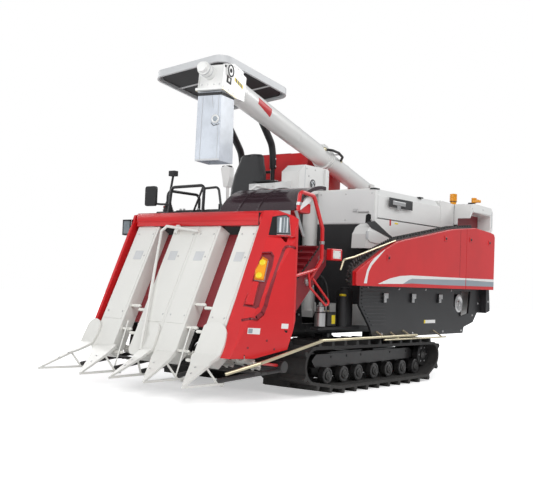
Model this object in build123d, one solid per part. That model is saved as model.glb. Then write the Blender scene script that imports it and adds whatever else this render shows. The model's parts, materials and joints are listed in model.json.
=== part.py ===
from build123d import *
import math
import os

# Four-row head-feed combine harvester on rubber crawler tracks.
# Millimetres. +X is forward, +Y is the machine's left, +Z is up.
# The origin is on the ground, under the middle of the machine's box.

os.makedirs("parts", exist_ok=True)

# Overall size
HALF_LENGTH = 2150

# Crawler tracks
TRACK_GAUGE = 1160
TRACK_WIDTH = 450
BELT_THICKNESS = 24
LUG_HEIGHT = 38
LUG_PITCH = 90
LUG_ROOT = 46
LUG_TIP = 26
WHEEL_AXIS_Z = 235
SPROCKET_X = 885
SPROCKET_BELT_R = 147
IDLER_X = -1060
IDLER_BELT_R = 125
ROLLER_R = 68
ROLLER_Z = LUG_HEIGHT + BELT_THICKNESS + ROLLER_R
ROLLER_XS = (545, 300, 70, -190, -440, -690, -940)

# Chassis
RAIL_Y = 250
RAIL_WIDTH = 80
RAIL_Z = (430, 520)
RAIL_X = (-1960, 1020)
LASHING_BORE_R = 20
LASHING_INSET = 45
CROSS_MEMBER_XS = (-1840, -1200, -400)
OUTRIGGERS = ((-1840, -250), (-1100, -250), (-200, 120), (250, 0))
BRIDGE_XS = (-800, 0, 600)
TRACK_FRAME_Y = 525

# Header lift: a cross pin in front of the threshing unit
LIFT_PIVOT = (500, 1100)
LIFT_PIN_R = 25
PIN_CLEARANCE = 0.05
LIFT_BASE = (440, 480)
LIFT_EYE = (980, 430)
LIFT_Y = 140
PIVOT_POST_Y = (20, 300)

# Header: the four pick-up cases lean back on one slanted plane
CASE_FOOT = (1740, 320)
CASE_HEAD = (1270, 1285)
CASE_DEPTH = 120
CASE_SPANS = ((-770, -530), (-350, -91), (-89, 130), (330, 520))
LOWER_PIPE = (1290, 250)
DIVIDER_PIPE_YS = (-780, -430, -120, 225, 770)

# Divider noses, drawn as (y, rise) on the plane of the cases; each tip is the lowest point
TIP_X = HALF_LENGTH
TIP_Z = 140
TIP_RISE = -341
TIP_YS = (-900, -430, -120, 225, 590)
NOSE_BEND = (1865, 268)
NOSE_PLATE = 20
SHIELD_PROUD = 22
SHIELD_TOP = 270
BAR_REAR_X = 1745
BAR_YS = (-815, -430, -150, 220, 600)
STRUT_YS = (-868, -476, -125, 166, 545)

# Sickle tines in the crop passages: root y, end y and rises up the slant
TINE_ROWS = ((-530, -427, (369, 167, -31)), (-350, -438, (337, 137)),
             (130, 238, (410, 220, 31)), (330, 231, (385, 193, -34)))
UPRIGHT_YS = (-785, 500)

# Left cover of the header: corners of its lower part and of the headlight housing on top
COVER_BACK_X = 1240
COVER_SPAN = (538, 845)
COVER_BOTTOM_Z = 318
COVER_INNER_Z = 345
COVER_WALL = 28
COVER_FOOT = (1735, 660, 345)
COVER_SIDE_FOOT = (1262, 845, 345)
COVER_NECK = (1352, 644, 1200)
COVER_SIDE_NECK = (1262, 845, 1200)
COVER_BROW = (1262, 640, 1400)
COVER_BROW_SIDE = (1300, 845, 1200)

# Star wheels behind the feet of the cases
STAR_RISE = 70
STAR_DEPTH = 250
STAR_YS = (-560, -320, 110, 350, 600)
STAR_PIN_R = 18
STAR_TIP_R = 112
STAR_TEETH = 9

# Threshing unit
THRESHER_X = (-2050, -60)
THRESHER_Y = (130, 720)
THRESHER_Z = (520, 1690)
LID_X = (-1300, -110)
LID_HINGE = (200, 1705)
SIDE_COVER_Y = (896, 936)
LOWER_COVER_Y = (812, 832)

# Grain tank, which swings out about the auger's column
COLUMN = (-1560, -320)
TANK_X = (-1200, -330)
TANK_Y = (-930, -40)
TANK_Z = (620, 2100)
TANK_STEP_Z = 1700

# Unloading auger
AUGER_YAW = 12.0
AUGER_PITCH = 7.9
AUGER_PIVOT_Z = 1890
AUGER_TUBE_R = 87.5
AUGER_LENGTH = 3040
AUGER_HEAD_END = 3410
AUGER_FLANGE_DROP = 118
COLUMN_R = 85
TURRET_Z = 1385
CYLINDER_BASE = (140, 1450)
CYLINDER_EYE_ALONG = 280
CYLINDER_EYE_BELOW = 134

# Operator's station
SEAT_Y = -560
LEVER = (930, -770)
GRIP_LEVER = (880, -140)
CANOPY_CORNER = (1137, -28, 2700)
CANOPY_SIZE = (950, 790)
CANOPY_CORNER_R = 110
CANOPY_PITCH = 7.8
CANOPY_ROLL = 5.3


def box(x0, x1, y0, y1, z0, z1):
    """Box between two corners."""
    size = Box(x1 - x0, y1 - y0, z1 - z0)
    return Pos((x0 + x1) / 2, (y0 + y1) / 2, (z0 + z1) / 2) * size


def side_prism(outline, y0, y1):
    """Solid between two Y planes; the outline is (x, z) points."""
    face = make_face(Polyline([(x, y0, z) for x, z in outline], close=True))
    return extrude(face, amount=y1 - y0, dir=(0, 1, 0))


def front_prism(outline, x0, x1):
    """Solid between two X planes; the outline is (y, z) points."""
    face = make_face(Polyline([(x0, y, z) for y, z in outline], close=True))
    return extrude(face, amount=x1 - x0, dir=(1, 0, 0))


def plan_prism(outline, z0, z1):
    """Solid between two Z planes; the outline is (x, y) points."""
    face = make_face(Polyline([(x, y, z0) for x, y in outline], close=True))
    return extrude(face, amount=z1 - z0, dir=(0, 0, 1))


def rod(start, end, radius):
    """Round bar between two points."""
    first = Vector(*start)
    axis = Vector(*end) - first
    low = (Align.CENTER, Align.CENTER, Align.MIN)
    return Plane(origin=first, z_dir=axis) * Cylinder(radius, axis.length, align=low)


def pipe(points, radius, bend):
    """Bent round tube, solid, along straight runs with equal bends."""
    path = FilletPolyline(points, radius=bend)
    start = Plane(origin=path @ 0, z_dir=path % 0)
    return sweep(start * Circle(radius), path=path)


def wheel(x, z, y0, y1, radius):
    """Disc or drum whose axis is along Y."""
    return rod((x, y0, z), (x, y1, z), radius)


def section(x, y0, y1, z0, z1):
    """Upright rectangle at one X, for a loft."""
    corners = [(x, y0, z0), (x, y1, z0), (x, y1, z1), (x, y0, z1)]
    return make_face(Polyline(corners, close=True))


def rounded_face(outline, radius):
    """Face with all its corners rounded alike; the outline is (across, up) points."""
    return make_face(FilletPolyline(outline, radius=radius, close=True))


def face_plane(corner, second, third):
    """Plane through three points, anticlockwise from outside, with its X direction level."""
    origin = Vector(*corner)
    outward = (Vector(*second) - origin).cross(Vector(*third) - origin)
    return Plane(origin=corner, x_dir=Vector(0, 0, 1).cross(outward), z_dir=outward)


def cut_beyond(solid, planes, inset):
    """Solid without what lies outside each plane, with the planes moved inward by an inset."""
    low = (Align.CENTER, Align.CENTER, Align.MIN)
    for plane in planes:
        solid = solid - plane.offset(-inset) * Box(4000, 4000, 2000, align=low)
    return solid


def save(name, shape):
    """Write one node."""
    export_step(shape, f"parts/{name}.step")


def fused(solids):
    """One node from a list of solids."""
    whole = solids[0]
    for solid in solids[1:]:
        whole = whole + solid
    return whole


# Belt outline

def tangent_angles(circles):
    """Outward angle of the belt's straight run after each circle, anticlockwise."""
    angles = []
    for index, (x, z, r) in enumerate(circles):
        next_x, next_z, next_r = circles[(index + 1) % len(circles)]
        span = math.hypot(next_x - x, next_z - z)
        heading = math.atan2(next_z - z, next_x - x)
        angles.append(heading - math.acos((r - next_r) / span))
    return angles


def belt_runs(inset):
    """Circles that the belt bends round, with its radius there less an inset."""
    rim = ROLLER_R + BELT_THICKNESS - inset
    return [(ROLLER_XS[-1], ROLLER_Z, rim),
            (ROLLER_XS[0], ROLLER_Z, rim),
            (SPROCKET_X, WHEEL_AXIS_Z, SPROCKET_BELT_R - inset),
            (IDLER_X, WHEEL_AXIS_Z, IDLER_BELT_R - inset)]


def on_circle(circle, angle):
    """Point (x, z) of a circle at an angle."""
    return (circle[0] + circle[2] * math.cos(angle), circle[1] + circle[2] * math.sin(angle))


def belt_path(inset):
    """Arcs and straight runs of the belt as (circle, start angle, end angle)."""
    circles = belt_runs(inset)
    angles = tangent_angles(circles)
    path = []
    for index, circle in enumerate(circles):
        start = angles[index - 1]
        end = angles[index]
        while end < start:
            end += 2 * math.pi
        path.append((circle, start, end))
    return path


def belt_face(inset):
    """Closed face inside the belt's outline, at Y zero."""
    path = belt_path(inset)
    edges = []
    for index, (circle, start, end) in enumerate(path):
        knots = [on_circle(circle, start + (end - start) * part) for part in (0, 0.5, 1)]
        edges.append(ThreePointArc(*[(x, 0, z) for x, z in knots]))
        next_circle, next_start, _ = path[(index + 1) % len(path)]
        far = on_circle(next_circle, next_start)
        edges.append(Line((knots[2][0], 0, knots[2][1]), (far[0], 0, far[1])))
    return make_face(edges)


def belt_stations(pitch):
    """Places round the outer outline, about one pitch apart, as (x, z, outward angle)."""
    path = belt_path(0)
    pieces = []
    for index, (circle, start, end) in enumerate(path):
        pieces.append(("arc", circle, start, circle[2] * (end - start)))
        here = on_circle(circle, end)
        next_circle, next_start, _ = path[(index + 1) % len(path)]
        there = on_circle(next_circle, next_start)
        pieces.append(("run", here, there, math.dist(here, there)))
    total = sum(piece[3] for piece in pieces)
    count = 2 * round(total / pitch / 2)
    stations = []
    for number in range(count):
        left = number * total / count
        for kind, first, second, length in pieces:
            if left < length:
                break
            left -= length
        if kind == "arc":
            angle = second + left / first[2]
            x, z = on_circle(first, angle)
        else:
            share = left / length
            x = first[0] + (second[0] - first[0]) * share
            z = first[1] + (second[1] - first[1]) * share
            angle = math.atan2(second[1] - first[1], second[0] - first[0]) - math.pi / 2
        stations.append((x, z, angle))
    return stations


def track(centre_y):
    """Rubber belt with its lugs, which stand alternately on the outer and inner half."""
    low = centre_y - TRACK_WIDTH / 2
    ring = belt_face(0) - belt_face(BELT_THICKNESS)
    belt = extrude(ring, amount=TRACK_WIDTH, dir=(0, 1, 0)).moved(Location((0, low, 0)))
    outward = 1 if centre_y > 0 else -1
    lugs = []
    for number, (x, z, angle) in enumerate(belt_stations(LUG_PITCH)):
        along = (-math.sin(angle), math.cos(angle))
        out = (math.cos(angle), math.sin(angle))
        outline = []
        for width, height in ((-LUG_ROOT, -6), (LUG_ROOT, -6), (LUG_TIP, LUG_HEIGHT), (-LUG_TIP, LUG_HEIGHT)):
            outline.append((x + along[0] * width / 2 + out[0] * height,
                            z + along[1] * width / 2 + out[1] * height))
        side = outward if number % 2 == 0 else -outward
        reach = centre_y + side * TRACK_WIDTH / 2
        inner = centre_y - side * 20
        lugs.append(side_prism(outline, min(reach, inner), max(reach, inner)))
    return fused([belt] + lugs)


# Undercarriage and chassis

def track_frames():
    """Beam inside each belt with its twin road rollers and the rear idler on their axles."""
    solids = []
    for side in (-1, 1):
        centre = side * TRACK_GAUGE / 2
        beam = side_prism([(-985, 205), (-985, 265), (-900, 300), (640, 300), (700, 250), (640, 190)],
                          centre - 55, centre + 55)
        parts = [beam, box(IDLER_X, -985, centre - 40, centre + 40, 215, 255)]
        for x in ROLLER_XS:
            parts.append(box(x - 22, x + 22, centre - 45, centre + 45, ROLLER_Z, 210))
            parts.append(wheel(x, ROLLER_Z, centre - 118, centre + 118, 22))
            parts.append(wheel(x, ROLLER_Z, centre - 110, centre - 62, ROLLER_R))
            parts.append(wheel(x, ROLLER_Z, centre + 62, centre + 110, ROLLER_R))
        rim = IDLER_BELT_R - BELT_THICKNESS
        parts.append(wheel(IDLER_X, WHEEL_AXIS_Z, centre - 130, centre + 130, 26))
        parts.append(wheel(IDLER_X, WHEEL_AXIS_Z, centre - 120, centre - 62, rim))
        parts.append(wheel(IDLER_X, WHEEL_AXIS_Z, centre + 62, centre + 120, rim))
        solids.append(fused(parts))
    return Compound(solids)


def drive_sprockets():
    """Gearbox between the tracks, its axles and the two toothed sprockets."""
    teeth = 10
    rim = SPROCKET_BELT_R - BELT_THICKNESS
    root = rim - 26
    solids = [box(780, 985, -170, 170, 130, 330),
              wheel(SPROCKET_X, WHEEL_AXIS_Z, -690, 690, 38),
              box(740, 800, -290, -210, 235, 430),
              box(740, 800, 210, 290, 235, 430),
              wheel(SPROCKET_X, WHEEL_AXIS_Z, -300, 300, 75)]
    for side in (-1, 1):
        centre = side * TRACK_GAUGE / 2
        outline = []
        for tooth in range(teeth):
            for shift, radius in ((-0.32, root), (-0.16, rim), (0.16, rim), (0.32, root)):
                angle = 2 * math.pi * (tooth + shift) / teeth
                outline.append((SPROCKET_X + radius * math.cos(angle),
                                WHEEL_AXIS_Z + radius * math.sin(angle)))
        solids.append(side_prism(outline, centre - 32, centre + 32))
    return fused(solids)


def chassis_rails():
    """Two long rails with a lashing bore at each end."""
    rails = []
    for side in (-1, 1):
        low = side * RAIL_Y - RAIL_WIDTH / 2
        rail = box(*RAIL_X, low, low + RAIL_WIDTH, *RAIL_Z)
        for x in (RAIL_X[0] + LASHING_INSET, RAIL_X[1] - LASHING_INSET):
            rail = rail - wheel(x, sum(RAIL_Z) / 2, low - 1, low + RAIL_WIDTH + 1, LASHING_BORE_R)
        rails.append(rail)
    return Compound(rails)


def chassis_frame():
    """Cross members between the rails, outriggers on them and the bridges to the track frames."""
    inner = RAIL_Y - RAIL_WIDTH / 2
    outer = RAIL_Y + RAIL_WIDTH / 2
    solids = [box(x - 30, x + 30, -inner, inner, 440, 510) for x in CROSS_MEMBER_XS]
    for x, reach in OUTRIGGERS:
        solids.append(box(x - 30, x + 30, -880, reach, RAIL_Z[1], 560))
    for x in BRIDGE_XS:
        legs = [box(x - 40, x + 40, side * RAIL_Y - 40, side * RAIL_Y + 40, 300, RAIL_Z[0]) for side in (-1, 1)]
        solids.append(fused([box(x - 45, x + 45, -TRACK_FRAME_Y, TRACK_FRAME_Y, 215, 301)] + legs))
    ears = []
    base_x, base_z = LIFT_BASE
    for y in (LIFT_Y - 62, LIFT_Y + 44):
        ears.append(side_prism([(355, 505), (355, 445), (base_x + 10, 450), (base_x + 30, 480),
                                (base_x + 10, 510)], y, y + 18))
    anchor = box(300, 360, -inner, inner, 440, 510)
    solids.append(fused([anchor, wheel(base_x, base_z, LIFT_Y - 62, LIFT_Y + 62, 18)] + ears))
    return Compound(solids)


def header_pivot():
    """Two posts on the rails that carry the header's cross pin."""
    pivot_x, pivot_z = LIFT_PIVOT
    solids = [box(pivot_x - 130, pivot_x - 70, PIVOT_POST_Y[0], PIVOT_POST_Y[1], RAIL_Z[1], 560),
              wheel(pivot_x, pivot_z, *PIVOT_POST_Y, LIFT_PIN_R)]
    for low, high in ((PIVOT_POST_Y[0], 52), (268, PIVOT_POST_Y[1])):
        solids.append(side_prism([(pivot_x - 130, 521), (pivot_x - 60, pivot_z + 20), (pivot_x - 30, pivot_z + 55),
                                  (pivot_x + 30, pivot_z + 55), (pivot_x + 60, pivot_z + 20),
                                  (pivot_x - 20, 521)], low, high))
    return fused(solids)


# Operator's station and engine

DOOR_AXIS = (-238, -915)
DOOR_PIN_R = 5
DOOR_KNUCKLE_ZS = (700, 1200)
DOOR_LUG_Y = -913


def engine_cover():
    """Housing under the seat; its right wall has the radiator's opening and the door's pins."""
    outer = side_prism([(-270, 560), (-270, 1400), (420, 1400), (440, 1250), (440, 560)], -900, -110)
    inner = box(-245, 415, -901, -135, 585, 1370)
    solids = [outer - inner]
    for z in DOOR_KNUCKLE_ZS:
        solids.append(rod((*DOOR_AXIS, z - 40), (*DOOR_AXIS, z + 60), DOOR_PIN_R))
        solids.append(rod((*DOOR_AXIS, z - 40), (*DOOR_AXIS, z - 1), 10))
        solids.append(box(-262, DOOR_AXIS[0] - 2, DOOR_LUG_Y, -899, z - 38, z - 3))
    return fused(solids)


def radiator_door():
    """Screened door on the right side; its knuckles turn on the pins of the engine housing."""
    frame = box(-238, 408, -925, -905, 592, 1362)
    window = box(-190, 360, -926, -904, 640, 1315)
    screen = box(-190, 360, -917, -913, 640, 1315)
    slats = [box(-190, 360, -922, -908, z, z + 10) for z in range(720, 1300, 90)]
    solids = [frame - window, screen] + slats
    for z in DOOR_KNUCKLE_ZS:
        solids.append(rod((*DOOR_AXIS, z), (*DOOR_AXIS, z + 60), 10))
    door = fused(solids)
    for z in DOOR_KNUCKLE_ZS:
        door = door - rod((*DOOR_AXIS, z - 1), (*DOOR_AXIS, z + 61), DOOR_PIN_R + PIN_CLEARANCE)
        door = door - rod((*DOOR_AXIS, z - 45), (*DOOR_AXIS, z), 13)
    return door


def operator_floor():
    """Step, floor and the front wall of the station."""
    floor = box(440, 990, -900, -60, 700, 730)
    step = box(500, 800, -930, -880, 560, 700)
    supports = box(460, 960, -880, -210, 520, 700)
    return fused([floor, step, supports])


def front_console():
    """Dashboard across the front of the station, with the boot of the steering lever."""
    outline = [(800, 730), (800, 1330), (860, 1425), (905, 1440), (975, 1440), (1000, 1410), (985, 730)]
    low = (Align.CENTER, Align.CENTER, Align.MIN)
    boot = Pos(LEVER[0], LEVER[1], 1438) * Cone(48, 20, 95, align=low)
    peg = rod((960, -790, 1439), (960, -790, 1475), 6)
    return fused([side_prism(outline, -860, -60), boot, peg])


def side_console():
    """White box with gauges, left of the seat, and the bent grab handle before it."""
    post = side_prism([(150, 560), (150, 1610), (420, 1610), (420, 1350), (300, 560)], -55, -20)
    head = side_prism([(110, 1610), (110, 1755), (180, 1765), (430, 1720), (430, 1610)], -280, 10)
    handle = pipe([(640, -100, 1400), (640, -100, 1640), (560, -100, 1686), (428, -100, 1680)], 11, 35)
    return fused([post, head, handle])


def seat_cushion():
    """Plain block of the seat cushion, rounded at its corners."""
    plan = Pos(335, SEAT_Y, 1402) * RectangleRounded(450, 430, 50)
    return extrude(plan, amount=98)


def seat_back():
    """Leaning seat back that narrows to its rounded top."""
    outline = [(90, 1440), (10, 2060), (80, 2060), (180, 1502), (105, 1502), (105, 1440)]
    slab = side_prism(outline, SEAT_Y - 210, SEAT_Y + 210)
    front = [(SEAT_Y - 210, 1430), (SEAT_Y - 210, 1800), (SEAT_Y - 150, 2070), (SEAT_Y + 150, 2070),
             (SEAT_Y + 210, 1800), (SEAT_Y + 210, 1430)]
    face = make_face(FilletPolyline([(0, y, z) for y, z in front], radius=55, close=True))
    return slab & extrude(face, amount=200, dir=(1, 0, 0))


def control_levers():
    """Steering lever with its knob and the white grip lever with its hand rest."""
    lever_x, lever_y = LEVER
    knob = Pos(lever_x - 15, lever_y + 30, 1775) * Box(50, 66, 46)
    stalk = rod((lever_x, lever_y, 1532), (lever_x - 15, lever_y + 30, 1760), 10)
    grip_x, grip_y = GRIP_LEVER
    stem = rod((grip_x, grip_y, 1440), (grip_x + 10, grip_y, 1650), 11)
    hand = front_prism([(grip_y - 22, 1640), (grip_y - 40, 1720), (grip_y - 60, 1800), (grip_y - 10, 1815),
                        (grip_y + 32, 1800), (grip_y + 34, 1720), (grip_y + 14, 1640)], grip_x - 18, grip_x + 34)
    small = [rod((900, y, 1439), (900, y, 1500), 7) for y in (-215, -190)]
    return Compound([fused([stalk, knob]), fused([stem, hand])] + small)


def guard_rails():
    """Rails round the front and right of the station, and the mirror on its arm."""
    rail = pipe([(975, -330, 1410), (975, -322, 1652), (975, -696, 1646), (975, -722, 1410)], 13, 40)
    brace = rod((975, -435, 1430), (975, -335, 1640), 9)
    low_rail = pipe([(975, -322, 1625), (975, -165, 1632), (975, -120, 1410)], 10, 40)
    side = pipe([(400, -885, 1400), (400, -885, 1640), (820, -885, 1640), (820, -885, 730)], 13, 50)
    arm = pipe([(977, -720, 1500), (1010, -790, 1500), (1036, -870, 1508)], 9, 25)
    plate = Pos(1028, -874, 1569) * Rot(0, 90, 0) * RectangleRounded(172, 128, 22)
    mirror = extrude(plate, amount=24)
    return Compound([fused([rail, brace, low_rail, arm, mirror]), side])


def canopy_frame():
    """Place of the canopy's front left top corner, tilted back and to the right."""
    spot = Location(CANOPY_CORNER)
    return spot * Rotation(0, -CANOPY_PITCH, 0) * Rotation(CANOPY_ROLL, 0, 0)


def canopy_roof():
    """Shallow roof tray with a turned-down rim, cross ribs and a raised middle panel."""
    long, wide = CANOPY_SIZE
    middle = Pos(-long / 2, -wide / 2, 0)
    tray = extrude(middle * RectangleRounded(long, wide, CANOPY_CORNER_R), amount=-60)
    inner = RectangleRounded(long - 36, wide - 36, CANOPY_CORNER_R - 18)
    hollow = extrude(middle * Pos(0, 0, -14) * inner, amount=-60)
    ribs = [box(x, x + 25, -wide + 10, -10, -40, -10) for x in (-700, -350)]
    ribs.append(box(-long + 10, -10, -wide / 2 - 12, -wide / 2 + 12, -32, -10))
    groove = box(-long / 2 - 4, -long / 2 + 4, -wide - 1, 1, -5, 1)
    return canopy_frame() * (fused([tray - hollow] + ribs) - groove)


def canopy_posts():
    """Two posts from the engine housing up to the roof."""
    left = pipe([(-120, -440, 1400), (-120, -440, 2150), (420, -330, 2560)], 21, 120)
    right = pipe([(-120, -810, 1400), (-120, -810, 2100), (420, -700, 2510)], 21, 120)
    tie = rod((-120, -810, 1900), (-120, -440, 1900), 14)
    return fused([left, right, tie])


def engine_block():
    return box(-150, 330, -780, -220, 620, 1150)


# Threshing unit

LID_KNUCKLE_R = 11
LID_PIN_R = 5
LID_KNUCKLE_XS = (-1180, -320)


def lid_knuckle(x0, x1, radius):
    """Round bar along the lid's hinge line."""
    return rod((x0, *LID_HINGE), (x1, *LID_HINGE), radius)


def thresher_body():
    """Main casing, with the recess that the lid closes, the fairing at its front and the lid's hinge pins."""
    x0, x1 = THRESHER_X
    y0, y1 = THRESHER_Y
    outline = [(x1, THRESHER_Z[0]), (x1, THRESHER_Z[1]), (-1350, 1712), (-1600, 1700),
               (-1600, 1450), (x0, 1450), (x0, 700), (-1900, THRESHER_Z[0])]
    body = side_prism(outline, y0, y1)
    recess = box(LID_X[0] - 6, LID_X[1] + 6, LID_HINGE[0] - 6, y1 + 1, 1444, 1800)
    fairing = side_prism([(-60, 1180), (-60, 1400), (20, 1360), (70, 1300), (80, 1180)], y1 - 140, y1)
    solids = [body - recess, fairing]
    for x in LID_KNUCKLE_XS:
        solids[0] = solids[0] - lid_knuckle(x - 2, x + 62, LID_KNUCKLE_R + 3)
        solids.append(lid_knuckle(x - 42, x + 62, LID_PIN_R))
        solids.append(lid_knuckle(x - 42, x - 2, LID_KNUCKLE_R))
        solids.append(box(x - 42, x - 2, 180, 197, 1680, LID_HINGE[1]))
    return fused(solids)


def threshing_lid():
    """Upper cover over the threshing drum: a roof with a turned-down left side, its knuckles and its handle."""
    hinge_y, hinge_z = LID_HINGE
    left = THRESHER_Y[1]
    outline = [(hinge_y, hinge_z - 25), (hinge_y, hinge_z), (left - 60, hinge_z + 5), (left, hinge_z - 55),
               (left, 1450), (left - 20, 1450), (left - 20, hinge_z - 65), (left - 70, hinge_z - 22)]
    solids = [front_prism(outline, LID_X[0], LID_X[1])]
    for x in LID_KNUCKLE_XS:
        solids.append(lid_knuckle(x, x + 60, LID_KNUCKLE_R))
    solids.append(box(-560, -300, left - 1, left + 22, 1575, 1625))
    solids.append(box(-470, -400, left - 1, left + 14, 1540, 1576))
    lid = fused(solids)
    for x in LID_KNUCKLE_XS:
        lid = lid - lid_knuckle(x - 3, x + 63, LID_PIN_R + PIN_CLEARANCE)
        lid = lid - lid_knuckle(x - 46, x, LID_KNUCKLE_R + 2)
    return lid


def rear_hood():
    """White box over the straw outlet at the rear, with the recess in its left side and the ledge over it."""
    shell = side_prism([(-1605, 1500), (-1605, 1700), (-1700, 1712), (-2110, 1700), (-HALF_LENGTH, 1660),
                        (-HALF_LENGTH, 1480), (-2120, 1450), (-1810, 1450), (-1780, 1500)], 130, 895)
    recess = side_prism([(-1604, 1455), (-1604, 1560), (-1660, 1625), (-2085, 1615), (-2085, 1470),
                         (-1820, 1440)], 760, 896)
    ledge = box(-2090, -1660, 880, 905, 1628, 1642)
    return fused([shell - recess, ledge])


def straw_cutter():
    """Straw cutter housing across the rear."""
    outline = [(-2050, 1395), (-2118, 1395), (-2118, 870), (-HALF_LENGTH, 647), (-2050, 626)]
    return side_prism(outline, 130, 890)


def feed_chain_line():
    """Upper edge of the feed chain, front to rear, as (x, z)."""
    return [(563, 861), (568, 984), (124, 1180), (-104, 1259), (-1150, 1434), (-1652, 1478)]


def feed_chain():
    """Chain with its teeth, along the front and top edge of the side cover."""
    line = feed_chain_line()
    solids = []
    for first, second in zip(line[:-1], line[1:]):
        length = math.dist(first, second)
        along = ((second[0] - first[0]) / length, (second[1] - first[1]) / length)
        out = (-along[1], along[0])
        if out[1] < 0:
            out = (-out[0], -out[1])
        if abs(along[0]) < 0.2:
            out = (1, 0)
        count = max(2, round(length / 55))
        step = length / count
        outline = [(first[0] - out[0] * 34, first[1] - out[1] * 34)]
        for number in range(count):
            start = number * step
            for share, height in ((0.0, 0), (0.3, 0), (0.45, 18), (0.6, 18), (0.7, 0)):
                along_here = start + share * step
                outline.append((first[0] + along[0] * along_here + out[0] * height,
                                first[1] + along[1] * along_here + out[1] * height))
        outline.append(second)
        outline.append((second[0] - out[0] * 34, second[1] - out[1] * 34))
        solids.append(side_prism(outline, 862, SIDE_COVER_Y[0]))
    return fused(solids)


# Pressed lugs on the red cover, as (x, z)
COVER_LUGS = ((55, 1100), (-998, 1324), (-1545, 1344), (-1990, 1338))


def feed_chain_cover():
    """Red cover over the feed chain's left side, with its pressed lugs and the shadow gap between its halves."""
    outline = [(550, 861), (555, 975), (124, 1168), (-104, 1247), (-1150, 1422), (-1652, 1466),
               (-2020, 1442), (-2095, 1432), (-2120, 1400), (-2120, 864)]
    panel = side_prism(outline, *SIDE_COVER_Y)
    stays = [box(x, x + 40, THRESHER_Y[1], SIDE_COVER_Y[0] + 1, 900, 960) for x in (-1900, -1200, -500)]
    outer = SIDE_COVER_Y[1]
    lugs = [box(x - 32, x + 32, outer - 1, outer + 4, z - 24, z + 24) for x, z in COVER_LUGS]
    seam = box(-1456, -1450, outer - 3, outer + 1, 864, 1500)
    return fused([panel - seam] + stays + lugs)


def lower_side_cover():
    """Black lower panel over the belts and pulleys, with its louvres, three latches and the opening at the rear."""
    outline = [(330, 860), (330, 700), (150, 520), (100, 430), (-1640, 430), (-1660, 489), (-1870, 534),
               (-1960, 625), (-2045, 645), (-2045, 864)]
    y0, y1 = LOWER_COVER_Y
    panel = side_prism(outline, y0, y1)
    hole = side_prism([(-1420, 840), (-1420, 700), (-1560, 590), (-1760, 620), (-1800, 840)], y0 - 1, y1 + 1)
    back = box(-1700, -70, THRESHER_Y[1], y0 + 1, 560, 860)
    pulley = wheel(-1580, 720, THRESHER_Y[1] + 30, y0 - 5, 90)
    solids = [panel - hole, back - hole - box(-1820, -1400, 780, 900, 540, 870), pulley]
    for z in range(535, 850, 30):
        solids.append(box(-95, 300 - max(0, 700 - z), y1 - 1, y1 + 7, z, z + 10))
    for x in (-60, -560, -1090):
        solids.append(box(x - 55, x + 25, y1 - 1, y1 + 16, 725, 808))
    return fused(solids)


def oil_filters():
    """Silver filter canister and two oil bottles on brackets at the front of the threshing unit."""
    canister = fused([rod((700, 700, 530), (700, 700, 645), 42), rod((700, 700, 644), (700, 700, 690), 30)])
    bracket = box(200, 740, 640, 712, 500, 521)
    reservoir = rod((190, 600, 521), (190, 600, 820), 70)
    second = rod((360, 690, 521), (360, 690, 770), 36)
    strut = box(120, 201, 290, 712, 500, 521)
    hanger = box(690, 710, 690, 710, 520, 531)
    return fused([canister, hanger, bracket, reservoir, second, strut])


def warning_lamps():
    """Amber beacon and side lamp at the rear."""
    beacon = fused([rod((-1830, 600, 1705), (-1830, 600, 1750), 30), rod((-1830, 600, 1750), (-1830, 600, 1830), 36)])
    lamp = fused([rod((-1890, 800, 1705), (-1890, 800, 1740), 14), rod((-1890, 800, 1740), (-1890, 800, 1790), 26)])
    return Compound([beacon, lamp])


def side_rods():
    """Rods along the left side that hold the crop off the track, and the bright guide over the feed chain."""
    inner = LOWER_COVER_Y[1] - 1
    low = rod((-553, 899, 442), (985, 899, 440), 11)
    stays = [rod((x, inner, 480), (x, 899, 442), 9) for x in (-420, 40)]
    thin = rod((-1080, 925, 414), (70, 925, 420), 7)
    links = [rod((x, 925, 416), (x, inner, 470), 7) for x in (-1000, -200)]
    guide = pipe([(745, 905, 978), (700, 905, 1060), (560, 905, 1085), (-98, 905, 1252)], 8, 40)
    return Compound([fused([low] + stays), fused([thin] + links), guide])


# Grain tank, elevator and unloading auger

def grain_tank():
    """Tank with a sloping floor and the long recess that the auger lies in."""
    x0, x1 = TANK_X
    y0, y1 = TANK_Y
    lower = front_prism([(y0, 1000), (y0 + 330, TANK_Z[0]), (y1 - 60, TANK_Z[0]), (y1, 900),
                         (y1, TANK_STEP_Z), (y0, TANK_STEP_Z)], x0, x1)
    upper = plan_prism([(x0, y0), (x1, y0), (x1, -190), (x0, -375)], TANK_STEP_Z - 1, TANK_Z[1])
    solids = [lower, upper]
    for z in (660, 1250):
        arm = box(COLUMN[0], x0 + 1, COLUMN[1] - 50, COLUMN[1] + 50, z, z + 50)
        collar = rod((*COLUMN, z), (*COLUMN, z + 50), COLUMN_R + 25)
        solids.append(fused([arm, collar]) - rod((*COLUMN, z - 1), (*COLUMN, z + 51), COLUMN_R + PIN_CLEARANCE))
    return fused(solids)


def grain_elevator():
    """Upright elevator with its boxed head and the sight glass in it."""
    leg = rod((-180, 0, 560), (-180, 0, 1700), 95)
    foot = box(-275, -85, -95, 95, 560, 620)
    head = side_prism([(-275, 1690), (-275, 1900), (-250, 1915), (110, 1915), (200, 1850), (200, 1665),
                       (-60, 1665)], -95, 95)
    glass = wheel(0, 1756, 94, 103, 38)
    rim = box(-228, -196, 94, 110, 1690, 1908)
    return fused([leg, foot, head, glass, rim])


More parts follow.
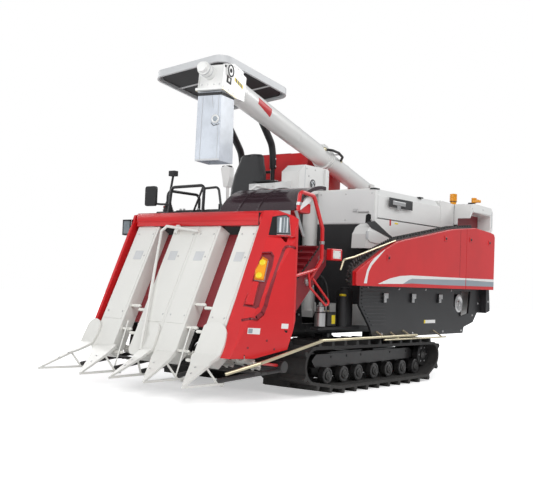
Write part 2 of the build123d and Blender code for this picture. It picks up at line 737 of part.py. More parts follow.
def auger_column():
    """Fixed foot of the unloading auger."""
    x, y = COLUMN
    leg = rod((x, y, 520), (x, y, TURRET_Z - 1), COLUMN_R)
    flange = rod((x, y, TURRET_Z - 30), (x, y, TURRET_Z - 1), COLUMN_R + 20)
    foot = box(x - 130, x + 130, y - 110, y + 110, 520, 545)
    return fused([leg, flange, foot])


def auger_place():
    """Frame at the auger's pivot: X along the stowed tube, seen from above, Z up."""
    return Location((COLUMN[0], COLUMN[1], 0), (0, 0, AUGER_YAW))


def auger_point(along, below):
    """Point (distance ahead, height) on the stowed tube, along it and below its axis."""
    pitch = math.radians(AUGER_PITCH)
    ahead = along * math.cos(pitch) + below * math.sin(pitch)
    height = AUGER_PIVOT_Z + along * math.sin(pitch) - below * math.cos(pitch)
    return (ahead, height)


def auger_turret():
    """Turning head of the column, with the fork for the tube and the cylinder's lugs."""
    base_a, base_z = CYLINDER_BASE
    pipe_part = rod((0, 0, TURRET_Z), (0, 0, 1750), COLUMN_R)
    flange = rod((0, 0, TURRET_Z), (0, 0, TURRET_Z + 29), COLUMN_R + 20)
    solids = [pipe_part, flange]
    for low in (-112, 98):
        cheek = side_prism([(-70, 1650), (-55, 1930), (55, 1930), (70, 1650)], low, low + 14)
        bore = wheel(0, AUGER_PIVOT_Z, low - 1, low + 15, 20 + PIN_CLEARANCE)
        solids.append(cheek - bore)
    solids.append(box(-70, 70, -112, 112, 1650, 1750))
    for low in (-48, 34):
        ear = side_prism([(60, base_z - 60), (60, base_z + 20), (base_a + 22, base_z + 22),
                          (base_a + 22, base_z - 22)], low, low + 14)
        solids.append(ear)
    solids.append(wheel(base_a, base_z, -48, 48, 14))
    return auger_place() * fused(solids)


def auger_frame():
    """Frame at the pivot with X along the tube's axis."""
    return auger_place() * Location((0, 0, AUGER_PIVOT_Z), (0, -AUGER_PITCH, 0))


def auger_tube():
    """Long tube with its pivot pins, the folding joint's flanges and the cylinder's lugs."""
    tube = rod((-80, 0, 0), (AUGER_LENGTH, 0, 0), AUGER_TUBE_R)
    pins = wheel(0, 0, -118, 118, 20)
    solids = [tube, pins]
    for start in (1125, 1172):
        solids.append(rod((start, 0, 0), (start + 22, 0, 0), AUGER_TUBE_R + 18))
    solids.append(box(1110, 1210, -20, 20, AUGER_TUBE_R - 12, AUGER_TUBE_R + 40))
    along, below = CYLINDER_EYE_ALONG, CYLINDER_EYE_BELOW
    for low in (-48, 34):
        ear = side_prism([(along - 50, -70), (along + 50, -70), (along + 20, -below - 20),
                          (along - 20, -below - 20)], low, low + 14)
        solids.append(ear)
    solids.append(wheel(along, -below, -48, 48, 14))
    return auger_frame() * fused(solids)


def auger_head():
    """Outlet box at the tube's end, with its side plates, bearing, bottom flange and drive motor."""
    end = AUGER_HEAD_END
    low = -AUGER_FLANGE_DROP
    body = side_prism([(AUGER_LENGTH, -95), (AUGER_LENGTH, 95), (end - 150, 112), (end, 60), (end, low),
                       (end - 200, low)], -92, 92)
    solids = [body]
    for side in (-100, 92):
        solids.append(side_prism([(end - 320, 20), (end - 298, 117), (end - 148, 121), (end + 4, 64),
                                  (end + 4, low), (end - 200, low)], side, side + 8))
    solids.append(box(end - 215, end + 16, -112, 112, low - 12, low + 6))
    solids.append(wheel(end - 84, 42, 99, 112, 50))
    solids.append(rod((end - 10, -10, 0), (end + 105, -10, 0), 49))
    solids.append(rod((end + 104, -10, 0), (end + 135, -10, 0), 36))
    return auger_frame() * fused(solids)


def auger_spout():
    """Hanging outlet sleeve, open below, that flares a little toward its mouth."""
    spot_a, spot_z = auger_point(AUGER_HEAD_END - 102, AUGER_FLANGE_DROP + 8)

    def ring(drop, long, wide):
        corners = [(spot_a - long, -wide), (spot_a + long, -wide), (spot_a + long, wide), (spot_a - long, wide)]
        return make_face(Polyline([(x, y, spot_z - drop) for x, y in corners], close=True))

    outer = loft([ring(0, 98, 96), ring(500, 104, 100)], ruled=True)
    inner = loft([ring(12, 92, 90), ring(501, 98, 94)], ruled=True)
    return auger_place() * (outer - inner)


def cylinder_parts(base, eye, barrel_r, rod_r, pin_r, barrel_share, eye_gap, half_width, spare):
    """Barrel and rod of a hydraulic cylinder in the (x, z) plane, on Y zero."""
    length = math.dist(base, eye)
    along = ((eye[0] - base[0]) / length, (eye[1] - base[1]) / length)

    def at(distance):
        return (base[0] + along[0] * distance, 0, base[1] + along[1] * distance)

    tube = rod(at(pin_r + 26), at(length * barrel_share), barrel_r)
    bore = rod(at(pin_r + 50), at(length * barrel_share + 1), rod_r + PIN_CLEARANCE)
    neck = rod(at(pin_r + 6), at(pin_r + 30), barrel_r * 0.6)
    knuckle = wheel(base[0], base[1], -half_width, half_width, pin_r + 12)
    hole = wheel(base[0], base[1], -half_width - 1, half_width + 1, pin_r + PIN_CLEARANCE)
    barrel = fused([knuckle, neck, tube - bore]) - hole
    eye_ring = wheel(eye[0], eye[1], -half_width, half_width, pin_r + eye_gap + 13)
    stem = rod(at(pin_r + 54 + spare), at(length - pin_r - eye_gap - 2), rod_r)
    piston = fused([eye_ring, stem]) - wheel(eye[0], eye[1], -half_width - 1, half_width + 1, pin_r + eye_gap)
    return barrel, piston


def lift_cylinder():
    """Cylinder that raises the header."""
    barrel, piston = cylinder_parts(LIFT_BASE, LIFT_EYE, 38, 20, 18, 0.58, 5, 38, 30)
    shift = Location((0, LIFT_Y, 0))
    return barrel.moved(shift), piston.moved(shift)


def auger_cylinder():
    """Cylinder that raises the auger."""
    eye = auger_point(CYLINDER_EYE_ALONG, CYLINDER_EYE_BELOW)
    barrel, piston = cylinder_parts(CYLINDER_BASE, eye, 26, 14, 14, 0.7, 7.5, 30, 2)
    return auger_place() * barrel, auger_place() * piston


# Header

def case_point(rise, depth):
    """Point (x, z) at a distance up the slant from its foot and a depth behind its face."""
    length = math.dist(CASE_FOOT, CASE_HEAD)
    along = ((CASE_HEAD[0] - CASE_FOOT[0]) / length, (CASE_HEAD[1] - CASE_FOOT[1]) / length)
    inward = (-along[1], along[0])
    return (CASE_FOOT[0] + along[0] * rise + inward[0] * depth,
            CASE_FOOT[1] + along[1] * rise + inward[1] * depth)


CASE_LENGTH = math.dist(CASE_FOOT, CASE_HEAD)


def header_frame():
    """Lift arm, lower pipe with a pipe to each nose, and the uprights to the top beam."""
    pivot_x, pivot_z = LIFT_PIVOT
    eye_x, eye_z = LIFT_EYE
    pipe_x, pipe_z = LOWER_PIPE
    arm = pipe([(pivot_x, LIFT_Y, pivot_z), (930, LIFT_Y, 620), (LOWER_PIPE[0], LIFT_Y, LOWER_PIPE[1])], 50, 200)
    boss = wheel(pivot_x, pivot_z, 60, 260, 60)
    solids = [arm, boss]
    for low in (LIFT_Y - 62, LIFT_Y + 44):
        solids.append(side_prism([(900, 620), (eye_x - 30, eye_z - 25), (eye_x + 30, eye_z - 25),
                                  (1120, 440), (1120, 500)], low, low + 18))
    solids.append(wheel(eye_x, eye_z, LIFT_Y - 62, LIFT_Y + 62, 18))
    solids.append(rod((pipe_x, -800, pipe_z), (pipe_x, 800, pipe_z), 42))
    for y, root_y in zip(BAR_YS, DIVIDER_PIPE_YS):
        solids.append(rod((pipe_x, root_y, pipe_z - 22), (1800, y, TIP_Z + 24), 17))
    top_x, top_z = case_point(CASE_LENGTH - 60, CASE_DEPTH + 40)
    for y in UPRIGHT_YS:
        solids.append(rod((pipe_x, y, pipe_z), (top_x, y, top_z), 24))
    for y in STAR_YS:
        foot = case_point(STAR_RISE - 18, STAR_DEPTH)
        head = case_point(STAR_RISE + 245, STAR_DEPTH)
        arm = case_point(STAR_RISE + 230, STAR_DEPTH)
        carrier = case_point(STAR_RISE + 230, CASE_DEPTH + 14)
        solids.append(rod((foot[0], y, foot[1]), (head[0], y, head[1]), STAR_PIN_R))
        carrier_y = min(y, UPRIGHT_YS[1])
        solids.append(rod((arm[0], carrier_y, arm[1]), (carrier[0], carrier_y, carrier[1]), 14))
        if y > carrier_y:
            solids.append(rod((arm[0], y, arm[1]), (arm[0], carrier_y - 14, arm[1]), 14))
    frame = fused(solids)
    return frame - wheel(pivot_x, pivot_z, 59, 261, LIFT_PIN_R + PIN_CLEARANCE)


def header_back_panel():
    """Dark red panel behind the cases."""
    outline = [case_point(270, CASE_DEPTH), case_point(CASE_LENGTH - 10, CASE_DEPTH),
               case_point(CASE_LENGTH - 10, CASE_DEPTH + 16), case_point(270, CASE_DEPTH + 16)]
    return side_prism(outline, -820, 530)


def header_beam():
    """Red cowl over the heads of the cases, rolled at its top and rounded at its right end."""
    edges = [Line((1180, 0, 1288), (1283, 0, 1288)), Line((1283, 0, 1288), (1291, 0, 1318)),
             ThreePointArc((1291, 0, 1318), (1278, 0, 1372), (1232, 0, 1402)),
             Line((1232, 0, 1402), (1180, 0, 1402)), Line((1180, 0, 1402), (1180, 0, 1288))]
    cowl = extrude(make_face(edges), amount=1356, dir=(0, 1, 0)).moved(Location((0, -820, 0)))
    plan = FilletPolyline([(1000, -820), (1292, -820), (1292, 700), (1000, 700)], radius=70, close=True)
    ends = extrude(Pos(0, 0, 1280) * make_face(plan), amount=130)
    return cowl & ends


# Outlines on the cover's folded flank, from its front foot, as (across, up)
AMBER_RECESS = ((121, 793), (188, 799), (213, 769), (209, 685), (150, 370), (131, 354), (30, 372))
AMBER_PLATE = ((62, 565), (125, 561), (106, 383), (45, 388))
AMBER_LAMP = ((132, 758), (174, 736), (163, 569), (91, 574), (88, 653))
COVER_GROOVE = ((362, 850), (297, 848), (278, 825), (201, 460), (175, 335), (140, 283), (38, 264))

# Headlight outline on the housing's face, from its middle, as (across, up)
HEADLIGHT_MIDDLE = (1289, 748, 1280)
HEADLIGHT = ((-71, 75), (8, 86), (30, 70), (71, -77), (-41, -75))


def cover_planes():
    """Outward planes of the left cover's lower part and of the headlight housing above it."""
    foot_inside = (COVER_FOOT[0], COVER_SPAN[0], COVER_FOOT[2])
    neck_inside = (COVER_NECK[0], COVER_SPAN[0], COVER_NECK[2])
    lower = [face_plane(foot_inside, COVER_FOOT, (COVER_NECK[0], COVER_FOOT[1], COVER_NECK[2])),
             face_plane(COVER_FOOT, COVER_SIDE_NECK, COVER_NECK),
             face_plane(COVER_FOOT, COVER_SIDE_FOOT, COVER_SIDE_NECK)]
    upper = [face_plane(neck_inside, COVER_NECK, (COVER_BROW[0], COVER_NECK[1], COVER_BROW[2])),
             face_plane(COVER_NECK, COVER_BROW_SIDE, COVER_BROW)]
    return lower, upper


def cover_block(inset, bottom):
    """The cover's outer form, or the same form moved in by an inset."""
    lower, upper = cover_planes()
    y0, y1 = COVER_SPAN
    outline = [(COVER_BACK_X + inset, bottom), (1760, bottom), (1352, COVER_NECK[2]),
               (COVER_BACK_X + inset, COVER_NECK[2])]
    if inset == 0:
        outline[0:1] = [(COVER_BACK_X, 590), (1304, 380), (1560, bottom)]
    body = side_prism(outline, y0 + inset, y1 - inset)
    body = cut_beyond(body, lower, inset)
    head = box(COVER_BACK_X + inset, 1352, y0 + inset, y1 - inset, COVER_NECK[2], COVER_BROW[2] - inset)
    head = cut_beyond(head, upper, inset)
    return body, head


def header_left_cover():
    """Moulded left side cover on its fold planes, with the groove and the recess round the amber lamp."""
    body, head = cover_block(0, COVER_BOTTOM_Z)
    inner_body, inner_head = cover_block(COVER_WALL, COVER_BOTTOM_Z - 40)
    brow = Plane(origin=(COVER_BROW[0], COVER_BROW[1], COVER_BROW[2] - 8), z_dir=(0.5, 0.25, 0.83))
    head = cut_beyond(head, [brow], 0)
    link = box(COVER_BACK_X + COVER_WALL, 1310, COVER_SPAN[0] + COVER_WALL, 790, COVER_NECK[2] - 40, 1230)
    cover = (body + head) - inner_body - inner_head - link
    cover = cover - box(COVER_BACK_X - 1, 1640, COVER_SPAN[0] - 1, 700, COVER_BOTTOM_Z - 1, COVER_INNER_Z)
    flank = face_plane(COVER_FOOT, COVER_SIDE_NECK, COVER_NECK)
    recess = make_face(Polyline(AMBER_RECESS, close=True)) - make_face(Polyline(AMBER_PLATE, close=True))
    cover = cover - flank.offset(-18) * extrude(recess, amount=40)
    band = flank.offset(-90) * extrude(trace(Polyline(COVER_GROOVE), line_width=18), amount=180)
    core, _ = cover_block(9, COVER_BOTTOM_Z - 1)
    return cover - (band - core)


def header_right_cover():
    """Right side plate of the header."""
    outline = [(1180, 1402), (1262, 1385), (1290, 1310), (1735, 330), (1400, 330), (1180, 560)]
    return side_prism(outline, -845, -820)


def hood_arch(lift, y0, y1):
    """Curved band of the hood, between two Y planes, lifted above its outer face."""
    outer = ((1200 + lift, 1404), (1058 + lift * 0.7, 1548 + lift * 0.7), (800, 1610 + lift))
    inner = ((1178, 1404), (1044, 1533), (800, 1590))
    edges = [ThreePointArc(*[(x, y0, z) for x, z in outer]), Line((800, y0, outer[2][1]), (800, y0, 1590)),
             ThreePointArc(*[(x, y0, z) for x, z in inner]), Line((1178, y0, 1404), (outer[0][0], y0, 1404))]
    return extrude(make_face(edges), amount=y1 - y0, dir=(0, 1, 0))


def header_hood():
    """Smoked curved hood over the stalk conveyor, with its rim and two ribs."""
    solids = [hood_arch(0, 40, 780)]
    for y0, y1 in ((752, 784), (230, 242), (420, 432)):
        solids.append(hood_arch(8, y0, y1))
    return fused(solids)


def slant_prism(face, near, far):
    """Solid behind the plane of the cases, between two depths; the face is drawn in (y, rise)."""
    outward = (CASE_HEAD[1] - CASE_FOOT[1], 0, CASE_FOOT[0] - CASE_HEAD[0])
    x, z = case_point(0, near)
    plane = Plane(origin=(x, 0, z), x_dir=(0, 1, 0), z_dir=outward)
    return plane * extrude(face, amount=far - near, dir=(0, 0, -1))


def pickup_cases():
    """Four leaning cases with rounded feet that carry the tine chains."""
    solids = []
    for low, high in CASE_SPANS:
        edges = [Line((low, CASE_LENGTH), (low, 8)), ThreePointArc((low, 8), (low + 16, -32), (low + 52, -46)),
                 Line((low + 52, -46), (high - 40, -46)), Line((high - 40, -46), (high, 24)),
                 Line((high, 24), (high, CASE_LENGTH)), Line((high, CASE_LENGTH), (low, CASE_LENGTH))]
        solids.append(slant_prism(make_face(edges), 0, CASE_DEPTH))
    return Compound(solids)


def pickup_tines():
    """Flat tines that reach from the case sides into the two crop passages."""
    solids = []
    for root, end, rises in TINE_ROWS:
        inward = 1 if end > root else -1
        start = root - inward
        for rise in rises:
            outline = [(start, rise - 9), (end - 12 * inward, rise - 12), (end, rise - 4), (end, rise + 4),
                       (end - 12 * inward, rise + 12), (start, rise + 9)]
            solids.append(slant_prism(make_face(Polyline(outline, close=True)), 24, 36))
    return Compound(solids)


def nose_blade(face, top, proud):
    """Bent plate up the case faces and forward to the tip, cut to an outline in (y, rise)."""
    profile = [case_point(top, -proud), case_point(8, -proud), NOSE_BEND, (TIP_X, TIP_Z + 8),
               (TIP_X, TIP_Z - 6), (NOSE_BEND[0], NOSE_BEND[1] - NOSE_PLATE),
               case_point(-8, NOSE_PLATE - proud), case_point(top, NOSE_PLATE - proud)]
    return side_prism(profile, -1000, 700) & slant_prism(face, -420, 60)


def shield_face(tip_y, heel, shoulder, crown, bulge, flank, waist):
    """Egg-shaped shield that tapers to its tip, in (y, rise)."""
    low_tip = (tip_y - 5, TIP_RISE)
    return make_face([Line(low_tip, heel), Line(heel, shoulder), ThreePointArc(shoulder, crown, bulge),
                      ThreePointArc(bulge, flank, waist), Line(waist, (tip_y + 5, TIP_RISE)),
                      Line((tip_y + 5, TIP_RISE), low_tip)])


def crop_dividers():
    """Five pointed noses with their base bars, struts and fins, and the thin crop rods of the passages."""
    shields = (
        (TIP_YS[0], (-893, -134), (-876, 165), (-815, 212), (-738, 150), (-745, 30), (-845, -115)),
        (TIP_YS[2], (-200, -60), (-165, 120), (-135, 214), (-96, 170), (-86, 60), (-106, -110)),
        (TIP_YS[4], (330, -20), (333, 225), (460, 262), (560, 190), (578, 90), (552, -60)),
    )
    plain = (
        ((TIP_YS[1] - 5, TIP_RISE), (-610, -125), (-700, -50), (-715, 20), (-507, 20), (-470, -100),
         (TIP_YS[1] + 5, TIP_RISE)),
        ((TIP_YS[3] - 5, TIP_RISE), (20, -118), (-40, -50), (-60, 20), (120, 20), (165, -80),
         (TIP_YS[3] + 5, TIP_RISE)),
    )
    blades = [nose_blade(shield_face(*row), SHIELD_TOP, SHIELD_PROUD) for row in shields]
    for outline in plain:
        blades.append(nose_blade(make_face(Polyline(outline, close=True)), 20, 0))
    order = (0, 3, 1, 4, 2)
    solids = []
    for index, tip_y, bar_y, strut_y in zip(order, TIP_YS, BAR_YS, STRUT_YS):
        bar = plan_prism([(TIP_X, tip_y - 5), (TIP_X, tip_y + 5), (BAR_REAR_X, bar_y + 16), (BAR_REAR_X, bar_y - 16)],
                         TIP_Z - 6, TIP_Z + 10)
        strut = rod((1800, bar_y, TIP_Z + 2), (NOSE_BEND[0], strut_y, NOSE_BEND[1] - 10), 8)
        fin = box(BAR_REAR_X, BAR_REAR_X + 14, bar_y - 9, bar_y + 9, TIP_Z - 20, TIP_Z + 6)
        solids.append(fused([blades[index], bar, strut, fin]))
    solids[1] = solids[1] + rod((1800, -448, TIP_Z + 2), (1642, -468, 522), 6)
    solids[3] = solids[3] + rod((1826, 219, TIP_Z + 2), (1645, 193, 515), 6)
    return Compound(solids)


def cutter_bar():
    """Reciprocating knife bar with its pointed fingers."""
    outline = [(1450, -790)]
    pitch = 50
    count = 31
    for number in range(count):
        y = -790 + number * pitch
        outline.append((1500, y + 8))
        outline.append((1555, y + 25))
        outline.append((1500, y + 42))
    outline.append((1500, -790 + count * pitch))
    outline.append((1450, -790 + count * pitch))
    return plan_prism(outline, 205, 219)


def stalk_conveyor():
    """Red conveyor that carries the stalks from the cases back to the feed chain, with its lugs along the top."""
    start, end = (1180, 760), (740, 1160)
    run = math.dist(start, end)
    along = ((end[0] - start[0]) / run, (end[1] - start[1]) / run)
    outline = [(1060, 620), (1150, 640)]
    lugs = 8
    for number in range(lugs):
        for share, height in ((0.0, 0), (0.35, 0), (0.5, 24), (0.7, 24), (0.8, 0)):
            place = (number + share) * run / lugs
            outline.append((start[0] + along[0] * place + along[1] * height,
                            start[1] + along[1] * place - along[0] * height))
    outline += [end, (640, 1130), (640, 1010)]
    body = side_prism(outline, 400, 700)
    link = box(640, 700, 300, 401, 1000, 1100)
    return fused([body, link])


def header_guard_rods():
    """Red guard pipe beside the hood with its loop, front part of the side rod and the stowed crop rod."""
    guard = pipe([(1190, 800, 1400), (1172, 800, 1546), (988, 800, 1530), (858, 800, 1290), (855, 800, 1050),
                  (894, 720, 893)], 15, 40)
    lower = rod((1250, 800, 905), (875, 767, 975), 13)
    loop = pipe([(1000, 782, 950), (985, 790, 835), (765, 790, 698), (700, 790, 715), (890, 745, 905)], 9, 22)
    side = fused([rod((1840, 700, 222), (1640, 850, 300), 11), rod((1640, 850, 300), (1002, 929, 440), 11),
                  rod((1330, 760, 262), (1640, 850, 300), 11)])
    stowed = pipe([(1774, -193, 319), (1323, -457, 1246), (1323, -400, 1284), (1325, -64, 1246)], 9, 22)
    foot = [(-315, 1000), (-285, 1000), (-285, 1068), (-315, 1068)]
    clip = slant_prism(make_face(Polyline(foot, close=True)), -32, 1)
    return Compound([fused([guard, lower, loop]), side, fused([stowed, clip])])


def header_lamps():
    """Headlights and the amber indicator in the left cover's recess."""
    _, upper = cover_planes()
    housing = Plane(origin=HEADLIGHT_MIDDLE, x_dir=upper[1].x_dir, z_dir=upper[1].z_dir)
    left = housing.offset(-30) * extrude(make_face(Polyline(HEADLIGHT, close=True)), amount=42)
    right = box(1215, 1300, -936, -840, 1215, 1345)
    flank = face_plane(COVER_FOOT, COVER_SIDE_NECK, COVER_NECK)
    amber = flank.offset(-20) * extrude(make_face(Polyline(AMBER_LAMP, close=True)), amount=26)
    return Compound([left, right, amber])


def star_wheel(y):
    """Toothed wheel that draws the stalks in behind the cases."""
    outline = []
    for tooth in range(STAR_TEETH):
        for shift, radius in ((0.0, 70), (0.3, 78), (0.55, STAR_TIP_R), (0.7, STAR_TIP_R - 2), (0.85, 74)):
            angle = 2 * math.pi * (tooth + shift) / STAR_TEETH
            outline.append((radius * math.cos(angle), radius * math.sin(angle)))
    disc = plan_prism(outline, -14, 14) - rod((0, 0, -15), (0, 0, 15), STAR_PIN_R + PIN_CLEARANCE)
    x, z = case_point(STAR_RISE, STAR_DEPTH)
    low = case_point(0, 0)
    high = case_point(1, 0)
    return Plane(origin=(x, y, z), z_dir=(high[0] - low[0], 0, high[1] - low[1])) * disc


def fuel_tank():
    """Fuel tank at the right rear, on its outrigger."""
    return box(-2050, -1700, -880, -480, 560, 900)


def auger_hose():
    """Hose that passes the tube's joint."""
    route = [(880, 62, 40), (980, 122, 62), (1110, 130, 66), (1250, 124, 50), (1350, 62, 36)]
    return auger_frame() * pipe(route, 12, 45)


nodes = {
    "chassis_rails": chassis_rails(),
    "chassis_frame": chassis_frame(),
    "header_pivot": header_pivot(),
    "track_frames": track_frames(),
    "drive_sprockets": drive_sprockets(),
    "track_left": track(TRACK_GAUGE / 2),
    "track_right": track(-TRACK_GAUGE / 2),
    "engine_block": engine_block(),
    "engine_cover": engine_cover(),
    "radiator_door": radiator_door(),
    "operator_floor": operator_floor(),
    "front_console": front_console(),
    "side_console": side_console(),
    "seat_cushion": seat_cushion(),
    "seat_back": seat_back(),
    "control_levers": control_levers(),
    "guard_rails": guard_rails(),
    "canopy_roof": canopy_roof(),
    "canopy_posts": canopy_posts(),
    "thresher_body": thresher_body(),
    "threshing_lid": threshing_lid(),
    "rear_hood": rear_hood(),
    "straw_cutter": straw_cutter(),
    "feed_chain": feed_chain(),
    "feed_chain_cover": feed_chain_cover(),
    "lower_side_cover": lower_side_cover(),
    "oil_filters": oil_filters(),
    "warning_lamps": warning_lamps(),
    "side_rods": side_rods(),
    "fuel_tank": fuel_tank(),
    "grain_tank": grain_tank(),
    "grain_elevator": grain_elevator(),
    "auger_column": auger_column(),
    "auger_turret": auger_turret(),
    "auger_tube": auger_tube(),
    "auger_head": auger_head(),
    "auger_spout": auger_spout(),
    "auger_hose": auger_hose(),
    "header_frame": header_frame(),
    "header_back_panel": header_back_panel(),
    "header_beam": header_beam(),
    "header_left_cover": header_left_cover(),
    "header_right_cover": header_right_cover(),
    "header_hood": header_hood(),
    "pickup_cases": pickup_cases(),
    "pickup_tines": pickup_tines(),
    "crop_dividers": crop_dividers(),
    "cutter_bar": cutter_bar(),
    "stalk_conveyor": stalk_conveyor(),
    "header_guard_rods": header_guard_rods(),
    "header_lamps": header_lamps(),
}
nodes["auger_cylinder_barrel"], nodes["auger_cylinder_rod"] = auger_cylinder()
nodes["lift_cylinder_barrel"], nodes["lift_cylinder_rod"] = lift_cylinder()
for number, y in enumerate(STAR_YS, start=1):
    nodes[f"star_wheel_{number}"] = star_wheel(y)

# Pieces let into their neighbours: each is cut back to what it stands on
SEATED = (
    ("crop_dividers", "header_frame"), ("crop_dividers", "pickup_cases"), ("cutter_bar", "header_frame"),
    ("header_frame", "header_back_panel"), ("header_guard_rods", "header_frame"),
    ("header_left_cover", "header_lamps"), ("side_rods", "lower_side_cover"),
    ("pickup_tines", "pickup_cases"), ("warning_lamps", "rear_hood"), ("auger_spout", "auger_head"),
    ("auger_hose", "auger_tube"), ("auger_head", "auger_tube"), ("side_rods", "feed_chain_cover"),
    ("header_lamps", "header_right_cover"), ("header_hood", "header_beam"),
    ("canopy_posts", "canopy_roof"), ("control_levers", "front_console"), ("guard_rails", "front_console"),
    ("pickup_cases", "header_frame"), ("header_left_cover", "header_frame"), ("header_beam", "pickup_cases"),
    ("header_guard_rods", "header_left_cover"), ("crop_dividers", "header_left_cover"),
    ("crop_dividers", "header_right_cover"), ("header_guard_rods", "crop_dividers"),
    ("header_guard_rods", "pickup_cases"), ("front_console", "control_levers"), ("side_console", "grain_elevator"),
    ("header_hood", "header_left_cover"),
)
for piece, neighbour in SEATED:
    nodes[piece] = nodes[piece] - nodes[neighbour]

for name, shape in nodes.items():
    save(name, shape)
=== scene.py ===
import json
import math

import bmesh
import bpy
from mathutils import Matrix, Vector


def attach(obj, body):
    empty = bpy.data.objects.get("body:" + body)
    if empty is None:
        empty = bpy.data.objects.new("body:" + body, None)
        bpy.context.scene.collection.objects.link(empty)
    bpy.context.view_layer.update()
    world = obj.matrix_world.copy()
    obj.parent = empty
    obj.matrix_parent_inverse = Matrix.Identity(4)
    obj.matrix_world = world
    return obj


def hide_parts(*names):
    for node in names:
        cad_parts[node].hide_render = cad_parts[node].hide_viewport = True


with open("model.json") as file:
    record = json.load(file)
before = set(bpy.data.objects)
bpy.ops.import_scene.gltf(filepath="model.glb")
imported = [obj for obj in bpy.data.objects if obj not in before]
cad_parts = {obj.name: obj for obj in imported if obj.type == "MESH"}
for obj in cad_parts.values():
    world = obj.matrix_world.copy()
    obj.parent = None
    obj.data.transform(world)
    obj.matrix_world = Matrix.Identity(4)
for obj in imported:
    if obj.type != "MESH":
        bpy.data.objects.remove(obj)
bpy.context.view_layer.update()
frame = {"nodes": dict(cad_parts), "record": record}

# Camera: solved from the crawler's and the header's straight lines, 533 x 498 picture
IMAGE_WIDTH_PX = 533
FOCAL_PX = 893
SENSOR_MM = 36
CAMERA_PLACE = Vector((6.5758, 4.6221, 0.8736))
HEADING = math.radians(37.3)
PITCH = math.radians(2.03)
ROLL = math.radians(2.13)

# Stage
FLOOR_SIZE = 60
SKY_COLOR = (0.86, 0.88, 0.9, 1)
SKY_STRENGTH = 0.42
BACK_STRENGTH = 1.0
FLOOR_WHITE = (0.93, 0.93, 0.93, 1)
FLOOR_ROUGHNESS = 0.75
# The glow that only the camera sees: start and end distance in metres, start and end strength
FLOOR_GLOW = {"From Min": 3.2, "From Max": 7.5, "To Min": 0.45, "To Max": 1.0}
DUST_COLOR = (0.34, 0.31, 0.27, 1)
DUST_HEIGHT = 0.5
COAT_ROUGHNESS = 0.08
BUMP_DEPTH = 0.001


def add_camera():
    """Camera at the photo's place, level apart from its small roll."""
    level = Vector((-math.cos(HEADING), -math.sin(HEADING), 0))
    up = Vector((0, 0, 1))
    side = level.cross(up)
    ahead = level * math.cos(PITCH) + up * math.sin(PITCH)
    top = up * math.cos(PITCH) - level * math.sin(PITCH)
    across = side * math.cos(ROLL) + top * math.sin(ROLL)
    rise = top * math.cos(ROLL) - side * math.sin(ROLL)
    data = bpy.data.cameras.new("camera")
    data.sensor_width = SENSOR_MM
    data.lens = FOCAL_PX / IMAGE_WIDTH_PX * SENSOR_MM
    data.clip_end = 200
    camera = bpy.data.objects.new("camera", data)
    turn = Matrix((across, rise, -ahead)).transposed()
    camera.matrix_world = Matrix.Translation(CAMERA_PLACE) @ turn.to_4x4()
    bpy.context.scene.collection.objects.link(camera)
    bpy.context.scene.camera = camera


def add_lights():
    """Large soft lamps from the front left and above, and a weaker one from the right."""
    lamps = (("key", (5.0, 5.5, 6.0), 5.0, 330), ("front", (7.5, -1.5, 3.2), 4.0, 130),
        ("rear", (-5.5, 3.5, 5.0), 4.0, 200), ("right", (0.5, -6.5, 4.0), 4.0, 170))
    target = Vector((0, 0, 0.9))
    for name, place, size, power in lamps:
        data = bpy.data.lights.new(name, "AREA")
        data.size = size
        data.energy = power
        lamp = bpy.data.objects.new(name, data)
        lamp.location = place
        lamp.rotation_euler = (target - Vector(place)).to_track_quat("-Z", "Y").to_euler()
        bpy.context.scene.collection.objects.link(lamp)


def nodes_of(material):
    """Node tree tools of a fresh material: add a node, link two sockets."""
    tree = material.node_tree

    def add(kind, **settings):
        node = tree.nodes.new(kind)
        for key, value in settings.items():
            if hasattr(node, key):
                setattr(node, key, value)
            else:
                node.inputs[key].default_value = value
        return node

    return tree, add


def add_world():
    """Grey surroundings for the light; white where the camera or clear plastic looks."""
    world = bpy.data.worlds.new("surroundings")
    world.use_nodes = True
    tree, add = nodes_of(world)
    link = tree.links.new
    tree.nodes.clear()
    out = add("ShaderNodeOutputWorld")
    light = add("ShaderNodeBackground", Color=SKY_COLOR, Strength=SKY_STRENGTH)
    white = add("ShaderNodeBackground", Color=(1, 1, 1, 1), Strength=BACK_STRENGTH)
    path = add("ShaderNodeLightPath")
    mix = add("ShaderNodeMixShader")
    seen = add("ShaderNodeMath", operation="MAXIMUM")
    link(path.outputs["Is Camera Ray"], seen.inputs[0])
    link(path.outputs["Is Transmission Ray"], seen.inputs[1])
    link(seen.outputs[0], mix.inputs[0])
    link(light.outputs[0], mix.inputs[1])
    link(white.outputs[0], mix.inputs[2])
    link(mix.outputs[0], out.inputs[0])
    bpy.context.scene.world = world


